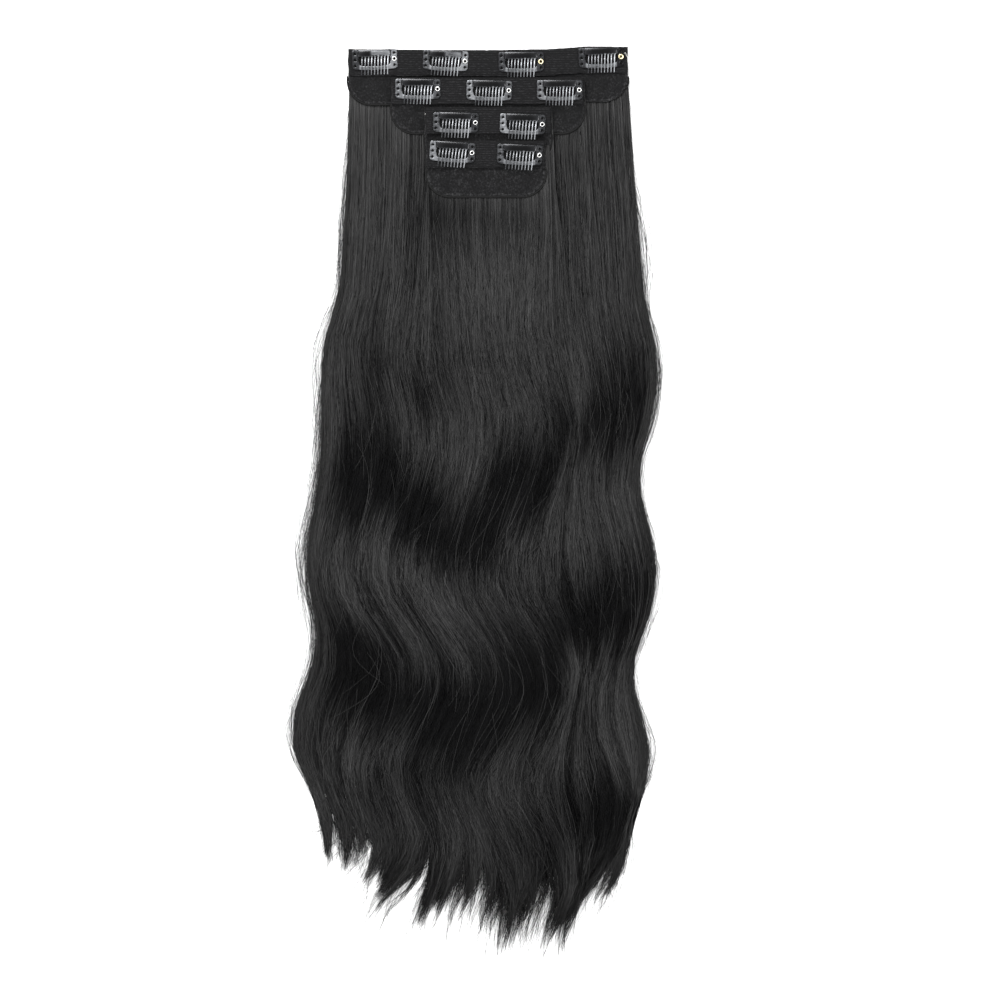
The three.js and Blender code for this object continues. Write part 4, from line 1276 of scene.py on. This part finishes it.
def build_clips():
    holes = [ring(s * EAR_MID, r * HOLE_PITCH, 1.0, 16) for s in (-1, 1) for r in (-1, 0, 1) if s < 0 or r]
    holes.append(ring(EAR_MID, 0, 1.2, 20))
    blank_frame = pressed_plate("frame", frame_outline(), holes, 1.1, bend_frame)
    blank_comb = pressed_plate("comb", comb_outline(), [], 0.8, bend_comb)
    eyelets = {"nickel": eyelet_mesh(1.62, 0.95), "brass": eyelet_mesh(1.85, 0.98)}
    thread = ear_threads()
    for clip in CLIPS:
        place = clip_place(clip)
        for side, word in ((-1, "left"), (1, "right")):
            mesh = neck_mesh(side)
            mesh.transform(place)
            neck = link_mesh(f"clip_{clip}_{word}_neck", mesh, "enamel")
            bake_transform(neck)
        rivet = "brass" if clip in ("1c", "1d") else "nickel"
        for kind, blank, look, body, lacquer in (
            ("frame", blank_frame, "enamel", ROOT, frame_painted_light),
            ("comb", blank_comb, "enamel", f"clip_{clip}", comb_painted_light),
            ("eyelet", eyelets[rivet], rivet, ROOT, None),
            ("thread", thread.data, "thread", ROOT, None),
        ):
            mesh = blank.copy()
            # the frame's and comb's tone is painted light: painted highlights, reflection and shade on the
            # lacquer
            if lacquer:
                co = np.array([v.co for v in mesh.vertices])
                layer = mesh.attributes["tone"]
                edge = np.array([value.value for value in layer.data])
                layer.data.foreach_set("value", lacquer(clip, co[:, 0], co[:, 1], edge).astype(np.float32))
            mesh.transform(place)
            piece = link_mesh(f"clip_{clip}_{kind}_detail", mesh, look)
            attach(piece, body)
            if kind == "thread":
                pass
            else:
                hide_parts(f"clip_{clip}_{kind}")
    bpy.data.objects.remove(thread)


# Two bits of pale thread: their place in the photograph's pixels, their reach in millimetres and their turn
THREAD_ENDS = ((425, 116, 2.6, 0.6), (624, 54, 3.6, -0.4))


def loose_ends():
    """Two bits of pale thread caught on the cloth, placed by the photograph's pixels."""
    scene = bpy.context.scene
    seen = bpy.context.evaluated_depsgraph_get()
    paths = []
    for px, py, reach, turn in THREAD_ENDS:
        hit = scene.ray_cast(seen, Vector((place_x(px), place_y(py), 0.1)), Vector((0, 0, -1)))
        z = hit[1].z if hit[0] else 8 * MM
        path = []
        for t in np.linspace(0, 1, 9):
            x = place_x(px) + reach * MM * t * math.cos(turn)
            y = place_y(py) + reach * MM * (t * math.sin(turn) + 0.35 * math.sin(2 * math.pi * t))
            path.append((x, y, z + (0.15 + 0.5 * math.sin(math.pi * t)) * MM))
        paths.append(path)
    piece = tube_mesh("pale_thread_ends", paths, 0.16 * MM, "pale_thread", tone=1.0)
    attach(piece, ROOT)


for weft in WEFTS:
    seam_stitches(weft, sew_cloth(weft))
build_clips()
loose_ends()


# Stage, light and camera


def make_floor():
    size = 3.0
    mesh = bpy.data.meshes.new("floor")
    corners = [(-size, -size, 0), (size, -size, 0), (size, size, 0), (-size, size, 0)]
    mesh.from_pydata(corners, [], [(0, 1, 2, 3)])
    mesh.materials.append(floor_material())
    floor = bpy.data.objects.new("floor", mesh)
    bpy.context.scene.collection.objects.link(floor)


def area_light(name, place, aim, size, power):
    lamp = bpy.data.lights.new(name, "AREA")
    lamp.shape = "RECTANGLE"
    lamp.size, lamp.size_y = size
    lamp.energy = power
    light = bpy.data.objects.new(name, lamp)
    light.location = place
    light.rotation_euler = (Vector(aim) - Vector(place)).to_track_quat("-Z", "Y").to_euler()
    bpy.context.scene.collection.objects.link(light)


# The photograph's width and height in pixels
FRAME_SIZE = 1000


def make_camera():
    height = 2.4
    camera = bpy.data.cameras.new("camera")
    camera.sensor_width = 36.0
    camera.lens = camera.sensor_width * height / (FRAME_SIZE * PIXEL)
    eye = bpy.data.objects.new("camera", camera)
    eye.location = (place_x(FRAME_SIZE / 2), place_y(FRAME_SIZE / 2), height + 6 * MM)
    bpy.context.scene.collection.objects.link(eye)
    bpy.context.scene.camera = eye


make_floor()
world = bpy.data.worlds.new("studio")
world.use_nodes = True
world.node_tree.nodes["Background"].inputs["Color"].default_value = (1, 1, 1, 1)
world.node_tree.nodes["Background"].inputs["Strength"].default_value = 0.35
bpy.context.scene.world = world
area_light("key", (-0.5, 1.3, 1.3), (0, 0.05, 0), (1.0, 0.7), 50)
area_light("right", (1.5, 0.2, 1.3), (0, 0, 0), (0.7, 1.4), 26)
area_light("left", (-1.5, -0.3, 1.3), (0, 0, 0), (0.7, 1.4), 26)
area_light("foot", (0.2, -1.5, 1.4), (0, -0.1, 0), (1.4, 0.7), 26)
bpy.context.scene.view_settings.view_transform = "Standard"
make_camera()
